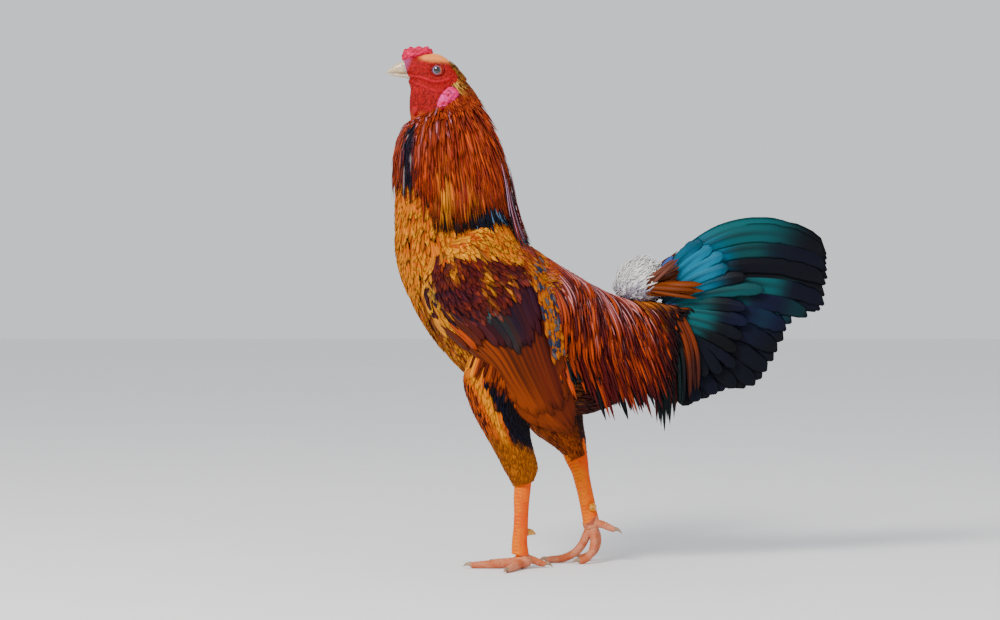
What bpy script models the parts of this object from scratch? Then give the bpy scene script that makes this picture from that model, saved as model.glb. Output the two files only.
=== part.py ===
"""A gamecock, life size, standing in mid step with its neck raised and its tail spread behind it.

The bird faces -X and stands on z = 0, so its left side faces -Y. Sizes are in millimetres until a mesh is made.
"""

import math

import bmesh
import bpy
import numpy as np

MM = 0.001
GAP = 0.3
SHARP = math.radians(35)
FLAT = math.radians(0.5)
WELD = 0.0005 * MM
POLE = 0.12
MIRROR = np.array([1.0, -1.0, 1.0])

# Each row is dorsal x, dorsal z, ventral x, ventral z, half width: the plumage from the tail's root to the throat.
BODY = [
    (62, 306, 69, 269, 20),
    (37, 308, 54, 232, 35),
    (8, 314, 23, 197, 48),
    (-21, 323, -18, 177, 59),
    (-50, 338, -67, 174, 67),
    (-73, 354, -119, 189, 72),
    (-89, 366, -165, 222, 74),
    (-98, 381, -203, 263, 73),
    (-103, 399, -229, 307, 69),
    (-107, 419, -245, 352, 62),
    (-111, 451, -247, 402, 53),
    (-118, 482, -248, 444, 45),
    (-131, 508, -246, 481, 37),
    (-145, 533, -238, 504, 28),
    (-158, 552, -229, 515, 20),
]
RUMP_AT = 4.3 / 14
NECK_AT = 8.6 / 14
THIN = 0.7
# Where the torso, neck and rump start and end along the body, and their rings and sides.
SPANS = {
    "torso": (RUMP_AT + 0.0004, NECK_AT - 0.0004, 10, 18),
    "neck": (NECK_AT + 0.0004, 1, 9, 16),
    "rump": (0, RUMP_AT - 0.0004, 7, 16),
}

# How far down the neck the cape of hackle reaches, as a place along the body, by the angle from the nape.
CAPE_ANGLE = (0.0, 0.45, 0.75, 1.2, 1.7, 2.2, 2.8, math.pi)
CAPE_EDGE = (0.45, 0.51, 0.61, 0.645, 0.655, 0.68, 0.74, 0.76)
CAPE_DEPTH = 6.0
CAPE_TOP = 0.93
# The hackle's tiers from the cape's edge up: feathers round the neck, and stations along each.
HACKLE_TIERS = [(14, 5), (12, 4), (9, 4), (7, 4)]
HACKLE_LONG, HACKLE_SHORT = 0.165, 0.05
HACKLE_HALF_WIDTH = 7.0

# The saddle hackles of one side, from the lowest tier up: root angle from the back, how many, and length in mm.
SADDLE_TIERS = [(1.2, 5, 112), (0.78, 5, 112), (0.34, 4, 96)]
SADDLE_DEPTH = 5.0
SADDLE_HALF_WIDTH = 6.5
DRAPE_ANGLE = 1.75
DRAPE_WAY = np.array([0.40, 0.10, -0.91])

# The tail's root, and its feathers on one side: rise in degrees, length in mm.
TAIL_ROOT = [
    (62.6, 303, 69.3, 272, 16),
    (76, 309, 82, 262, 14),
    (92, 306, 95, 266, 9),
    (104, 296, 104, 280, 3),
]
TAIL_FEATHERS = [(31, 158), (16, 187), (1.5, 181), (-13, 172), (-28, 147), (-43, 148), (-58, 137), (-73, 134)]
TAIL_COVERTS = [(26, 84), (0, 92), (-28, 88), (-56, 72)]
TAIL_HALF_WIDTH = 17.0
SICKLES = [
    [(74, 300), (88, 354), (122, 385), (172, 394), (222, 386), (252, 360), (256, 342)],
    [(76, 300), (96, 348), (134, 375), (176, 378), (214, 358)],
    [(76, 298), (102, 334), (140, 353), (178, 346), (202, 322)],
]

# The skull and face from the back of the head to the root of the bill.
SKULL = [
    (-168, 562, -172, 546, 9),
    (-173, 572, -182, 536, 12.5),
    (-181, 581, -194, 536, 14.5),
    (-190, 588.5, -206, 540, 15.3),
    (-201, 592, -216, 547, 14.3),
    (-212, 591.5, -224, 556, 12),
    (-223, 589, -230, 562, 9.5),
    (-233, 584.5, -235, 566, 6.6),
]
# The bare throat from the neck's end up into the face.
THROAT = [
    (-158, 552, -229, 515, 19),
    (-164, 560, -230, 526, 17.5),
    (-171, 567, -230, 539, 15.5),
    (-180, 572, -228, 552, 12.5),
]
EYE = np.array([-197.0, -9.6, 572.0])
EYE_RADIUS = 7.6
LID_RADIUS, LID_BEAD, LID_OUT = 7.3, 1.5, 3.9

UPPER_BILL = [
    (-231.5, 585.6, -231.5, 569.4, 6.4),
    (-240, 582.2, -240, 569.4, 5.4),
    (-246, 579, -246, 569.5, 4.2),
    (-251.5, 575, -251.5, 569.5, 2.6),
    (-256.5, 570.3, -256.5, 568.8, 0.7),
]
LOWER_BILL = [
    (-233.4, 569.1, -232.6, 561.6, 5.4),
    (-240, 569.0, -240, 564.4, 4.6),
    (-246, 569.0, -246, 565.8, 3.3),
    (-252, 569.0, -252, 567.4, 1.5),
]
NOSTRIL, NOSTRIL_RADII = np.array([-237.5, -5.2, 577.0]), (2.3, 2.2, 1.2)

# The left ear lobe's two swellings, the left wattle, and the room left for the lobe in the neck's plumage:
# centre and radii of each.
EAR_LOBE = [((-184, -20.5, 541), (7.5, 3.4, 10)), ((-191, -21.0, 531), (6, 3.2, 8))]
WATTLE = ((-222, -11.5, 525.5), (6.5, 3.2, 8.5))
LOBE_ROOM = ((-187.5, -21, 536), (14, 5.6, 17.5))

# The drumsticks and shanks, with front x, front z, rear x, rear z, half width, and their distance from the middle.
LEFT_THIGH = [
    (-158, 254, -72, 240, 30),
    (-163, 216, -80, 202, 31),
    (-154, 187, -87, 179, 28),
    (-146, 168, -91, 163, 24.5),
    (-135, 149, -90, 146, 20.5),
    (-124.5, 128, -86, 126, 17),
    (-118.5, 113, -82.5, 114, 15),
    (-112, 99.5, -86, 102, 11.5),
    (-109.3, 92.2, -88.8, 93.4, 9.6),
]
LEFT_SHANK = [
    (-109.3, 91.9, -88.8, 93.1, 8.2),
    (-109.5, 80, -91, 80, 7.8),
    (-109.2, 64, -92.2, 64, 7.2),
    (-109.6, 48, -92.6, 47, 7.3),
    (-111.5, 32, -93.4, 30, 8),
    (-112, 17, -91, 14, 9.5),
]
RIGHT_THIGH = [
    (-118, 222, -24, 228, 30),
    (-108, 188, -24, 198, 30),
    (-97, 166, -28, 177, 27),
    (-83, 150, -27, 159, 23),
    (-67, 139, -25, 146, 19),
    (-54, 129, -24, 134.5, 16),
    (-46, 118, -22, 121.5, 13),
    (-41.6, 106, -20.2, 108.5, 10.8),
    (-40, 100, -19.8, 101.6, 9.4),
]
RIGHT_SHANK = [
    (-40, 99.7, -19.8, 101.3, 8.2),
    (-36.5, 88, -17.4, 89.5, 7.8),
    (-33.5, 76, -14.8, 77.5, 7.3),
    (-31, 63, -12.2, 64, 7.5),
    (-29, 51, -9.6, 53, 8.5),
    (-27, 43, -9.4, 46, 9),
]
HIP_Y, HOCK_Y = 43.0, 30.0
LEG_END = 60.0
SCUTES = 11
SCUTE_RISE = 0.7

# The folded wing's outer side from the shoulder to the tip: upper edge x, z, lower edge x, z,
# and how far out the upper edge, the middle and the lower edge lie.
WING = [
    (-168, 382, -206, 352, 62, 68, 57),
    (-138, 391, -213, 322, 56, 77, 52),
    (-108, 370, -203, 287, 38, 82, 46),
    (-80, 340, -172, 258, 44, 84, 51),
    (-70, 296, -141, 233, 68, 84, 64),
    (-60, 250, -119, 204, 73, 78, 68),
    (-47, 201, -91, 170, 66, 70, 63),
    (-34, 158, -49, 148, 60, 61, 59),
]
# The wing's tiers from the flight feathers up to the shoulder: how many, place of the roots and tips along the
# wing, and half width. The flight feathers' tips step along the wing's edge.
FLIGHT_TIPS = (0.79, 0.86, 0.93, 0.98, 1.0, 0.94, 0.83)
WING_TIERS = [
    (7, 0.42, None, 8.0),
    (6, 0.28, 0.55, 8.0),
    (5, 0.15, 0.39, 8.5),
    (4, 0.04, 0.25, 8.5),
]
WING_DEPTH = 4.2


def spline(rows, t):
    """Values on a smooth curve through evenly spaced rows, Catmull-Rom, with t from 0 to 1."""
    rows = np.asarray(rows, float)
    rows = np.vstack([2 * rows[0] - rows[1], rows, 2 * rows[-1] - rows[-2]])
    x = np.asarray(t, float) * (len(rows) - 3)
    i = np.clip(x.astype(int), 0, len(rows) - 4)
    f = (x - i)[..., None]
    a, b, c, d = rows[i], rows[i + 1], rows[i + 2], rows[i + 3]
    return b + 0.5 * f * (c - a + f * (2 * a - 5 * b + 4 * c - d + f * (3 * (b - c) + d - a)))


def section(stations, u, angle, grow=0.0, centre_y=0.0):
    """Points of a body's skin: an oval from the dorsal point (angle 0) to the ventral one (angle pi), +Y side first."""
    s = spline(stations, u)
    dorsal = np.stack([s[..., 0], np.zeros_like(s[..., 0]), s[..., 1]], -1)
    ventral = np.stack([s[..., 2], np.zeros_like(s[..., 0]), s[..., 3]], -1)
    half = (dorsal - ventral) / 2
    length = np.linalg.norm(half, axis=-1, keepdims=True)
    half = half * (1 + np.asarray(grow)[..., None] / length)
    across = np.zeros_like(half)
    across[..., 1] = s[..., 4] + grow
    middle = (dorsal + ventral) / 2
    middle[..., 1] = centre_y
    return middle + half * np.cos(angle)[..., None] + across * np.sin(angle)[..., None]


def grid(u0, u1, rows, around):
    """Places along a body from u0 to u1, and angles round it, for the points of its rings."""
    return np.meshgrid(np.linspace(u0, u1, rows), np.linspace(0, 2 * np.pi, around, endpoint=False), indexing="ij")


def rings_of(stations, u0, u1, rows, around, grow=0.0):
    """Rings of points from u0 to u1, each going round the body."""
    return section(stations, *grid(u0, u1, rows, around), grow)


def skin(rings):
    """A closed mesh (points, triangles) of rings joined in turn, with a fan at each end."""
    rings = np.asarray(rings, float)
    rows, around = rings.shape[:2]
    points = np.vstack([rings.reshape(-1, 3), rings[0].mean(0), rings[-1].mean(0)])
    first, last = rows * around, rows * around + 1
    i, j = np.meshgrid(np.arange(rows - 1), np.arange(around), indexing="ij")
    k = (j + 1) % around
    a, b, c, d = i * around + j, i * around + k, (i + 1) * around + k, (i + 1) * around + j
    sides = np.concatenate([np.stack([a, b, c], -1).reshape(-1, 3), np.stack([a, c, d], -1).reshape(-1, 3)])
    j = np.arange(around)
    k = (j + 1) % around
    start = np.stack([np.full(around, first), k, j], -1)
    end = np.stack([np.full(around, last), (rows - 1) * around + j, (rows - 1) * around + k], -1)
    faces = np.concatenate([sides, start, end])
    return outward(points, faces)


def outward(points, faces):
    """The same mesh with its faces turned to point out."""
    corners = points[faces]
    volume = np.einsum("ij,ij->", corners[:, 0], np.cross(corners[:, 1], corners[:, 2]))
    return points, faces if volume > 0 else faces[:, ::-1]


def tube(path, radii, around, flat=0.0):
    """A closed tube along a path in any direction, with a radius at each point; flat cuts it off below z = flat."""
    path, radii = np.asarray(path, float), np.asarray(radii, float)
    if radii.ndim == 1:
        radii = np.stack([radii, radii], -1)
    tangent = np.gradient(path, axis=0)
    tangent /= np.linalg.norm(tangent, axis=1, keepdims=True)
    side = np.cross(tangent, [0.0, 0.0, 1.0])
    weak = np.linalg.norm(side, axis=1) < 0.2
    side[weak] = np.cross(tangent[weak], [1.0, 0.0, 0.0])
    side /= np.linalg.norm(side, axis=1, keepdims=True)
    up = np.cross(side, tangent)
    turn = np.linspace(0, 2 * np.pi, around, endpoint=False)
    rings = (
        path[:, None]
        + side[:, None] * (radii[:, 0:1] * np.cos(turn))[..., None]
        + up[:, None] * (radii[:, 1:2] * np.sin(turn))[..., None]
    )
    rings[..., 2] = np.maximum(rings[..., 2], flat)
    return skin(rings)


def vane(path, normal, half_width, thickness, tilt=0.0):
    """A closed thin feather with four corners a station, its two faces split into triangles alike."""
    tangent = np.gradient(path, axis=0)
    tangent /= np.linalg.norm(tangent, axis=1, keepdims=True)
    side = np.cross(normal, tangent)
    side /= np.linalg.norm(side, axis=1, keepdims=True)
    up = np.cross(tangent, side)
    side, up = side * math.cos(tilt) + up * math.sin(tilt), up * math.cos(tilt) - side * math.sin(tilt)
    wide, thick = side * half_width[:, None], up * thickness[:, None] / 2
    points = np.stack([path - wide + thick, path + wide + thick, path + wide - thick, path - wide - thick], 1)
    a = 4 * np.arange(len(path) - 1)
    b, c, d, e, f, g, h = (a + k for k in range(1, 8))
    faces = [(a, b, f), (a, f, e), (b, c, g), (b, g, f), (c, d, g), (d, h, g), (d, a, e), (d, e, h)]
    faces = np.concatenate([np.stack(face, -1) for face in faces])
    last = 4 * (len(path) - 1)
    ends = [(1, 0, 3), (1, 3, 2), (last, last + 1, last + 2), (last, last + 2, last + 3)]
    return outward(points.reshape(-1, 3), np.concatenate([faces, ends]))


def spans(count):
    """Places along a feather from its root to its tip, close together at the root, where it leaves the skin."""
    return np.concatenate([[0.0], np.linspace(0.13, 1.0, count - 1)])


def lance(s):
    """The width of a pointed hackle along its length, as a share of the widest."""
    return np.interp(s, (0, 0.13, 0.5, 0.8, 1), (0.5, 0.85, 1.0, 0.8, 0.08))


def spoon(s):
    """The width of a round-tipped feather along its length, as a share of the widest."""
    return np.interp(s, (0, 0.13, 0.4, 0.75, 0.93, 1), (0.25, 0.5, 0.85, 1.0, 0.8, 0.3))


def thin(s):
    """The thickness of a feather along its length."""
    return THIN * np.interp(s, (0, 0.8, 1), (1.3, 0.9, 0.5))


def rise(s, sunk, low, high):
    """How high a feather lies over its root's skin: sunk at the root, then low, then up to high at the tip."""
    return np.interp(s, (0, 0.13, 1), (-sunk, low, high))


def frame_on(surface, a, b):
    """Points of surface(a, b) and its unit normals, on the side that the cross product of b's way and a's gives."""
    step = 1e-3
    along = surface(a + step, b) - surface(a - step, b)
    across = surface(a, b + step) - surface(a, b - step)
    normal = np.cross(across, along)
    return surface(a, b), normal / np.linalg.norm(normal, axis=-1, keepdims=True)


def material(name, colour, roughness, metallic=0.0):
    made = bpy.data.materials.get(name) or bpy.data.materials.new(name)
    made.use_nodes = True
    shader = made.node_tree.nodes["Principled BSDF"]
    shader.inputs["Base Color"].default_value = (*colour, 1)
    shader.inputs["Roughness"].default_value = roughness
    shader.inputs["Metallic"].default_value = metallic
    return made


def make(name, mesh, finish):
    """An object from (points in mm, faces)."""
    points, faces = mesh
    data = bpy.data.meshes.new(name)
    data.from_pydata((np.asarray(points) * MM).tolist(), [], np.asarray(faces).tolist())
    data.update()
    data.shade_smooth()
    made = bpy.data.objects.new(name, data)
    made.data.materials.append(finish)
    bpy.context.scene.collection.objects.link(made)
    return made


def mirrored(mesh):
    points, faces = mesh
    return points * MIRROR, faces[:, ::-1]


def settle(target, modifier):
    """Applies the one modifier of target."""
    graph = bpy.context.evaluated_depsgraph_get()
    data = bpy.data.meshes.new_from_object(target.evaluated_get(graph))
    target.modifiers.remove(modifier)
    old, target.data = target.data, data
    bpy.data.meshes.remove(old)


def combine(target, meshes, operation):
    """Joins closed meshes to target, or cuts them from it, in one Boolean."""
    tools = bpy.data.collections.new("tools")
    for number, mesh in enumerate(meshes):
        tool = make(f"tool{number}", mesh, target.data.materials[0])
        bpy.context.scene.collection.objects.unlink(tool)
        tools.objects.link(tool)
    bpy.context.scene.collection.children.link(tools)
    modifier = target.modifiers.new("combine", "BOOLEAN")
    modifier.operation = operation
    modifier.operand_type = "COLLECTION"
    modifier.collection = tools
    modifier.solver = "EXACT"
    settle(target, modifier)
    for tool in list(tools.objects):
        bpy.data.meshes.remove(tool.data)
    bpy.data.collections.remove(tools)
    keep_largest(target)
    simplify(target)
    target.data.shade_smooth()
    target.data.set_sharp_from_angle(angle=SHARP)
    return target


def simplify(target):
    """Merges the flat faces that a Boolean splits, unless that would open the mesh."""
    shape = bmesh.new()
    shape.from_mesh(target.data)
    bmesh.ops.dissolve_limit(shape, angle_limit=FLAT, verts=shape.verts, edges=shape.edges)
    bmesh.ops.triangulate(shape, faces=shape.faces)
    if all(len(edge.link_faces) == 2 for edge in shape.edges):
        shape.to_mesh(target.data)
    shape.free()


def keep_largest(target):
    """Leaves only the largest closed surface of target. Surfaces that share no more than an edge count as apart."""
    shape = bmesh.new()
    shape.from_mesh(target.data)
    bmesh.ops.remove_doubles(shape, verts=shape.verts, dist=WELD)
    left, largest = set(shape.faces), set()
    while left:
        found = set()
        reached = [left.pop()]
        while reached:
            face = reached.pop()
            found.add(face)
            beside = {other for edge in face.edges if len(edge.link_faces) == 2 for other in edge.link_faces} & left
            left -= beside
            reached += beside
        largest = max(largest, found, key=lambda faces: sum(face.calc_area() for face in faces))
    bmesh.ops.delete(shape, geom=[face for face in shape.faces if face not in largest], context="FACES")
    shape.to_mesh(target.data)
    shape.free()


def clear_scene():
    for thing in list(bpy.data.objects):
        bpy.data.objects.remove(thing)


def ball(centre, radii, rows=8, around=12):
    """An ellipsoid with its poles on its Y axis."""
    v, a = grid(POLE, np.pi - POLE, rows, around)
    rings = np.stack([np.sin(v) * np.cos(a), np.cos(v), np.sin(v) * np.sin(a)], -1)
    return skin(np.asarray(centre) + rings * np.asarray(radii))


def ring_bead(centre, radius, bead, rows=11, around=4):
    """A ring of round section in a plane that faces Y."""
    v, a = grid(0, 2 * np.pi * (1 - 1 / rows), rows, around)
    out = radius + bead * np.cos(a)
    points = np.stack([out * np.cos(v), bead * np.sin(a), out * np.sin(v)], -1) + np.asarray(centre)
    i, j = np.meshgrid(np.arange(rows), np.arange(around), indexing="ij")
    a, b = i * around + j, i * around + (j + 1) % around
    c, d = ((i + 1) % rows) * around + (j + 1) % around, ((i + 1) % rows) * around + j
    faces = np.concatenate([np.stack([a, b, c], -1).reshape(-1, 3), np.stack([a, c, d], -1).reshape(-1, 3)])
    return outward(points.reshape(-1, 3), faces)


def thigh_mesh(side, grow=0.0):
    """A drumstick, whose middle leans inward from the hip to the hock, or the same one grown."""
    rows = LEFT_THIGH if side == 1 else RIGHT_THIGH
    u, angle = grid(-grow / LEG_END, 1 + grow / LEG_END, 10, 14)
    return skin(section(rows, u, angle, grow, -side * (HIP_Y + (HOCK_Y - HIP_Y) * u)))


def shank_mesh(side, grow=0.0):
    """A shank. Every other ring stands out in front and behind, where the scutes' lower edges are."""
    rows = LEFT_SHANK if side == 1 else RIGHT_SHANK
    u, angle = grid(-grow / LEG_END, 1 + grow / LEG_END, 2 * SCUTES, 9)
    raised = np.arange(2 * SCUTES)[:, None] % 2 * SCUTE_RISE * (0.5 + 0.5 * np.abs(np.cos(angle)))
    return skin(section(rows, u, angle, grow + raised, -side * HOCK_Y))


def wing_point(t, v):
    """A point of the left wing's outer side: t from shoulder to tip, v from the upper edge to the lower one."""
    s = spline(WING, t)
    v = np.asarray(v, float)
    upper = np.stack([s[..., 0], -s[..., 4], s[..., 1]], -1)
    lower = np.stack([s[..., 2], -s[..., 6], s[..., 3]], -1)
    middle = (upper + lower) / 2
    middle[..., 1] = -s[..., 5]
    v = v[..., None]
    return upper * (1 - v) * (1 - 2 * v) + middle * 4 * v * (1 - v) + lower * v * (2 * v - 1)


def wing_shell(rows, columns, t_end, lift, thickness):
    """A closed slab along the wing's outer side, thinner at its edges."""
    t, v = np.meshgrid(np.linspace(0, t_end, rows), np.linspace(0, 1, columns), indexing="ij")
    outer, normal = frame_on(wing_point, t, v)
    depth = thickness * (0.75 + 0.25 * np.sin(np.pi * v)) * np.interp(t, (0, 0.25, 0.4, 1), (1, 1, 0.45, 0.3))
    outer = outer + normal * lift
    inner = (outer + depth[..., None] * np.array([0.0, 1.0, 0.0]))[:, ::-1]
    return skin(np.concatenate([outer, inner], 1))


CRIMSON = ((0.55, 0.02, 0.025), 0.45)
FINISHES = {
    "breast": ((0.42, 0.16, 0.03), 0.7),
    "hackle": ((0.40, 0.09, 0.015), 0.5),
    "saddle": ((0.45, 0.07, 0.012), 0.5),
    "wing": ((0.24, 0.06, 0.02), 0.55),
    "tail": ((0.004, 0.10, 0.10), 0.3),
    "thigh": ((0.45, 0.17, 0.02), 0.65),
    "face": CRIMSON,
    "comb": ((0.62, 0.025, 0.06), 0.4),
    "lobe": ((0.75, 0.10, 0.25), 0.45),
    "bill": ((0.72, 0.60, 0.47), 0.35),
    "eye": ((0.40, 0.20, 0.10), 0.08),
    "shank": ((0.80, 0.26, 0.02), 0.45),
    "toe": ((0.78, 0.33, 0.20), 0.5),
    "horn": ((0.55, 0.42, 0.30), 0.35),
}


def finish(name):
    return material(name, *FINISHES[name])


# Each toe of the left foot and of the right one: the points that its middle passes, and its radii there.
TOES = {
    "left": {
        "middle": ([(-100, -30, 8), (-112, -30, 7.2), (-128, -29.5, 5.6), (-146, -29, 4.6), (-158, -28.5, 3.8)],
                   [6.4, 6.0, 5.4, 4.6, 3.8]),
        "inner": ([(-100, -28, 8), (-109, -19, 6.6), (-119, -9, 5), (-128, -1, 4.2), (-133, 4, 3.4)],
                  [6.0, 5.4, 4.9, 4.2, 3.4]),
        "outer": ([(-99, -32, 8), (-104, -43, 6.6), (-109, -55, 5), (-114, -66, 4.2), (-117, -73, 3.4)],
                  [6.0, 5.4, 4.9, 4.2, 3.4]),
        "hind": ([(-95, -27, 12), (-86, -25, 9), (-79, -23.5, 6), (-73, -22, 4.2)],
                 [5.4, 4.8, 4.2, 3.4]),
    },
    "right": {
        "middle": ([(-18.5, 30, 45), (-23, 30, 34), (-29, 29.5, 21.5), (-38, 29, 11.5), (-51, 28.5, 5.6),
                    (-64, 28, 4.2), (-71, 27.5, 3.7)],
                   [6.2, 5.8, 5.4, 5.2, 4.9, 4.4, 3.6]),
        "inner": ([(-17, 28, 44), (-15, 25, 31), (-16.5, 21, 17), (-22, 17, 8), (-29, 14, 4.2), (-33, 12.5, 3.6)],
                  [5.8, 5.2, 4.9, 4.6, 4.2, 3.4]),
        "outer": ([(-17, 32, 44), (-11, 36, 30), (-12, 42, 17), (-18, 48, 8), (-26, 53, 4.2), (-31, 56, 3.6)],
                  [5.8, 5.2, 4.9, 4.6, 4.2, 3.4]),
        "hind": ([(-14, 27.5, 47), (-5, 25.5, 45), (2, 24.5, 42), (9, 24, 39)],
                 [5.2, 4.8, 4.3, 3.5]),
    },
}
PADS = {"left": ((-99.5, -30, 7.5), (12, 10.5, 9.5)), "right": ((-18.5, 30, 45.5), (10.5, 10, 9))}
# A toe lies on the floor where its middle is no higher than this share of its radius. It is then flat underneath,
# because its middle is set at the lower share, and what would be under the floor is cut off level.
TOE_LIES, TOE_SUNK = 1.3, 0.78
CLAW_LENGTH = 11.0
# The spurs, low on the inner rear of each shank: root, tip and root radius.
SPURS = {
    "left": ((-95, -24, 41), (-84, -17, 38), 4.6),
    "right": ((-17, 24, 65), (-16, 12.5, 66), 5.0),
}

# The pea comb's middle, like the body's rows, and how far its knobs swell out of it.
COMB = [
    (-237, 588, -237, 583, 3),
    (-231, 594.5, -232, 581.5, 6.2),
    (-223, 597.6, -225, 583, 7.4),
    (-214, 598, -217, 586, 7.2),
    (-207, 597, -210, 588, 5.8),
    (-203, 594, -204, 590.5, 3),
]
KNOB = 1.9


def cape_edge(angle):
    """Where the cape's edge lies along the body, at angles round it from the nape."""
    folded = np.abs((angle + np.pi) % (2 * np.pi) - np.pi)
    return np.interp(folded, CAPE_ANGLE, CAPE_EDGE)


def skin_level(u, angle):
    """How far the skin lies below the plumage's outer side: deep under the cape and the saddle, level elsewhere."""
    cape = np.clip((u - cape_edge(angle) + 0.02) / 0.05, 0, 1) * np.clip((1 - u) / 0.06, 0, 1)
    rump = np.clip((RUMP_AT - u) / 0.06, 0, 1)
    return -CAPE_DEPTH * cape - SADDLE_DEPTH * rump


def plumage(u, angle):
    return section(BODY, u, angle)


def body_mesh(node, grow=0.0):
    """The closed mesh of the torso, neck or rump, or the same one grown, to cut its neighbours clear."""
    u0, u1, rows, around = SPANS[node]
    u, angle = grid(u0, u1, rows, around)
    level = skin_level(u, angle) + grow
    push = 0.0007 * (grow > 0)
    u[0] -= push
    u[-1] += push
    return skin(section(BODY, u, angle, level))


def torso():
    return make("torso", body_mesh("torso"), finish("breast"))


def core(rows, u0, u1, count, around, grow=GAP):
    """A node's plain core, grown by the gap, to cut its neighbours clear."""
    end = grow / 100
    return skin(rings_of(rows, u0 - end, u1 + end, count, around, grow))


def clear_of(made, meshes):
    return combine(made, meshes, "DIFFERENCE")


def hackle(tiers, extra=0.0):
    """The lances of the given tiers, counted from the cape's edge up, or the same made wider and thicker."""
    draw = np.random.default_rng(11)
    feathers = []
    for tier, (count, stations) in enumerate(HACKLE_TIERS[:tiers]):
        share = tier / (len(HACKLE_TIERS) - 1)
        s = spans(stations)
        for k in range(count):
            angle = 2 * np.pi * (k + 0.5 * (tier % 2)) / count + draw.uniform(-0.03, 0.03)
            edge = cape_edge(angle)
            tip = edge + (CAPE_TOP - edge) * share ** 0.9 + draw.uniform(0, 0.012)
            root = np.clip(tip + HACKLE_LONG * (1 - share) + HACKLE_SHORT * share, NECK_AT + 0.03, 0.985)
            u = root + (tip - extra * 0.003 - root) * s
            around = angle + draw.uniform(-0.05, 0.05) * s
            path, normal = frame_on(plumage, u, around)
            lift = skin_level(u, around) + rise(s, 3.5, 1.1 + 1.1 * (k % 2), 4.7 - 2.6 * share + 1.1 * (k % 2))
            width = HACKLE_HALF_WIDTH * (1 - 0.45 * share) * lance(s) + extra
            feathers.append(vane(path + normal * lift[:, None], normal, width, thin(s) + 2 * extra, 0.05))
    return feathers


def neck():
    """The neck with its hackle: tiers of lances that lie down the neck and over the shoulders."""
    made = make("neck", body_mesh("neck"), finish("hackle"))
    combine(made, hackle(len(HACKLE_TIERS)), "UNION")
    lobes = [side_ball(LOBE_ROOM, side) for side in (1, -1)]
    wattles = [side_ball(WATTLE, side, GAP, 7) for side in (1, -1)]
    head = [core(SKULL, 0, 1, 8, 12), core(THROAT, 0, 1, 4, 12)]
    return clear_of(made, [body_mesh("torso", GAP), *head, *lobes, *wattles])


def drape(u, angle):
    """The saddle's outer side on +Y: the rump's own section, then straight down and back from its widest place."""
    on_body = np.minimum(angle, DRAPE_ANGLE)
    points = section(BODY, u, on_body)
    radius = np.linalg.norm(section(BODY, u, on_body) - section(BODY, u, on_body + 0.01), axis=-1) / 0.01
    return points + DRAPE_WAY * ((angle - on_body) * radius)[..., None]


def saddle():
    """The rump with the saddle hackles, which hang from the back past the flanks."""
    made = make("saddle", body_mesh("rump"), finish("saddle"))
    draw = np.random.default_rng(12)
    feathers = []
    for tier, (start, count, length) in enumerate(SADDLE_TIERS):
        s = spans(6)
        for k in range(count):
            place = (0.25 + 2.95 * (k + 0.5 * (tier % 2)) / (count - 0.5)) / 14
            rate = np.linalg.norm(section(BODY, place, 1.2) - section(BODY, place, 1.3)) / 0.1
            reach = length * draw.uniform(0.94, 1.04) / rate
            around = start + draw.uniform(-0.05, 0.05) + reach * s
            along = place - 0.03 * s * s
            path, normal = frame_on(drape, along, around)
            base = skin_level(along, around) * np.clip(1.5 - s, 0, 1)
            lift = base + rise(s, 3.0, 1.1, 2.2) + 2.4 * tier * s
            path = path + normal * lift[:, None]
            feather = vane(path, normal, SADDLE_HALF_WIDTH * lance(s), thin(s), 0.06)
            feathers += [feather, mirrored(feather)]
    combine(made, feathers, "UNION")
    return clear_of(made, [thigh_mesh(side, GAP) for side in (1, -1)] + [body_mesh("torso", GAP)])


def tail_vane(route, side, y0, y1, half_width, stations):
    """A broad feather in the tail's upright fan, its lower edge turned a little outward."""
    s = spans(stations)
    flat = spline(route, s)
    path = np.stack([flat[:, 0], side * (y0 + (y1 - y0) * s), flat[:, 1]], 1)
    normal = np.broadcast_to([0.0, float(side), 0.12], path.shape)
    return vane(path, normal, half_width * spoon(s), thin(s) * 1.2)


def tail():
    """The tail: a fan of broad feathers on each side, sickles over them, and coverts at the root."""
    made = make("tail", skin(rings_of(TAIL_ROOT, 0, 1, 5, 12)), finish("tail"))
    feathers = []
    for side in (1, -1):
        for k, (degrees, length) in enumerate(TAIL_FEATHERS):
            way = np.array([math.cos(math.radians(degrees)), math.sin(math.radians(degrees))])
            bend = np.array([-way[1], way[0]]) * 0.07 * length
            root = np.array([76 + 0.4 * k, 300 - 3.2 * k])
            target = np.array([70, 300 - 1.5 * k]) + way * length
            middle = (root + target) / 2 + bend
            feathers.append(tail_vane([root, middle, target], side, 2.5 + 0.5 * k, 3.5 + 2.6 * k, TAIL_HALF_WIDTH, 4))
        for k, route in enumerate(SICKLES):
            feathers.append(tail_vane(route, side, 5.0 + k, 5.5 + 2.2 * k, 9.5 - 0.5 * k, 7 - k))
        for k, (degrees, length) in enumerate(TAIL_COVERTS):
            way = np.array([math.cos(math.radians(degrees)), math.sin(math.radians(degrees))])
            root = np.array([80, 296 - 5.0 * k])
            target = root + way * length
            middle = (root + target) / 2 + np.array([-way[1], way[0]]) * 5
            feathers.append(tail_vane([root, middle, target], side, 9 + k, 11 + 4.6 * k, 10, 4))
    return combine(made, feathers, "UNION")


def face():
    parts = [skin(rings_of(THROAT, 0, 1, 4, 12))]
    for side in (1, -1):
        parts.append(ring_bead(EYE * (1, side, 1) - (0, LID_OUT * side, 0), LID_RADIUS, LID_BEAD))
    made = make("head", skin(rings_of(SKULL, 0, 1, 8, 12)), finish("face"))
    combine(made, parts, "UNION")
    balls = [ball(EYE * (1, side, 1), [EYE_RADIUS + GAP] * 3, 7, 10) for side in (1, -1)]
    return clear_of(made, [*balls, body_mesh("neck", GAP)])


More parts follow.
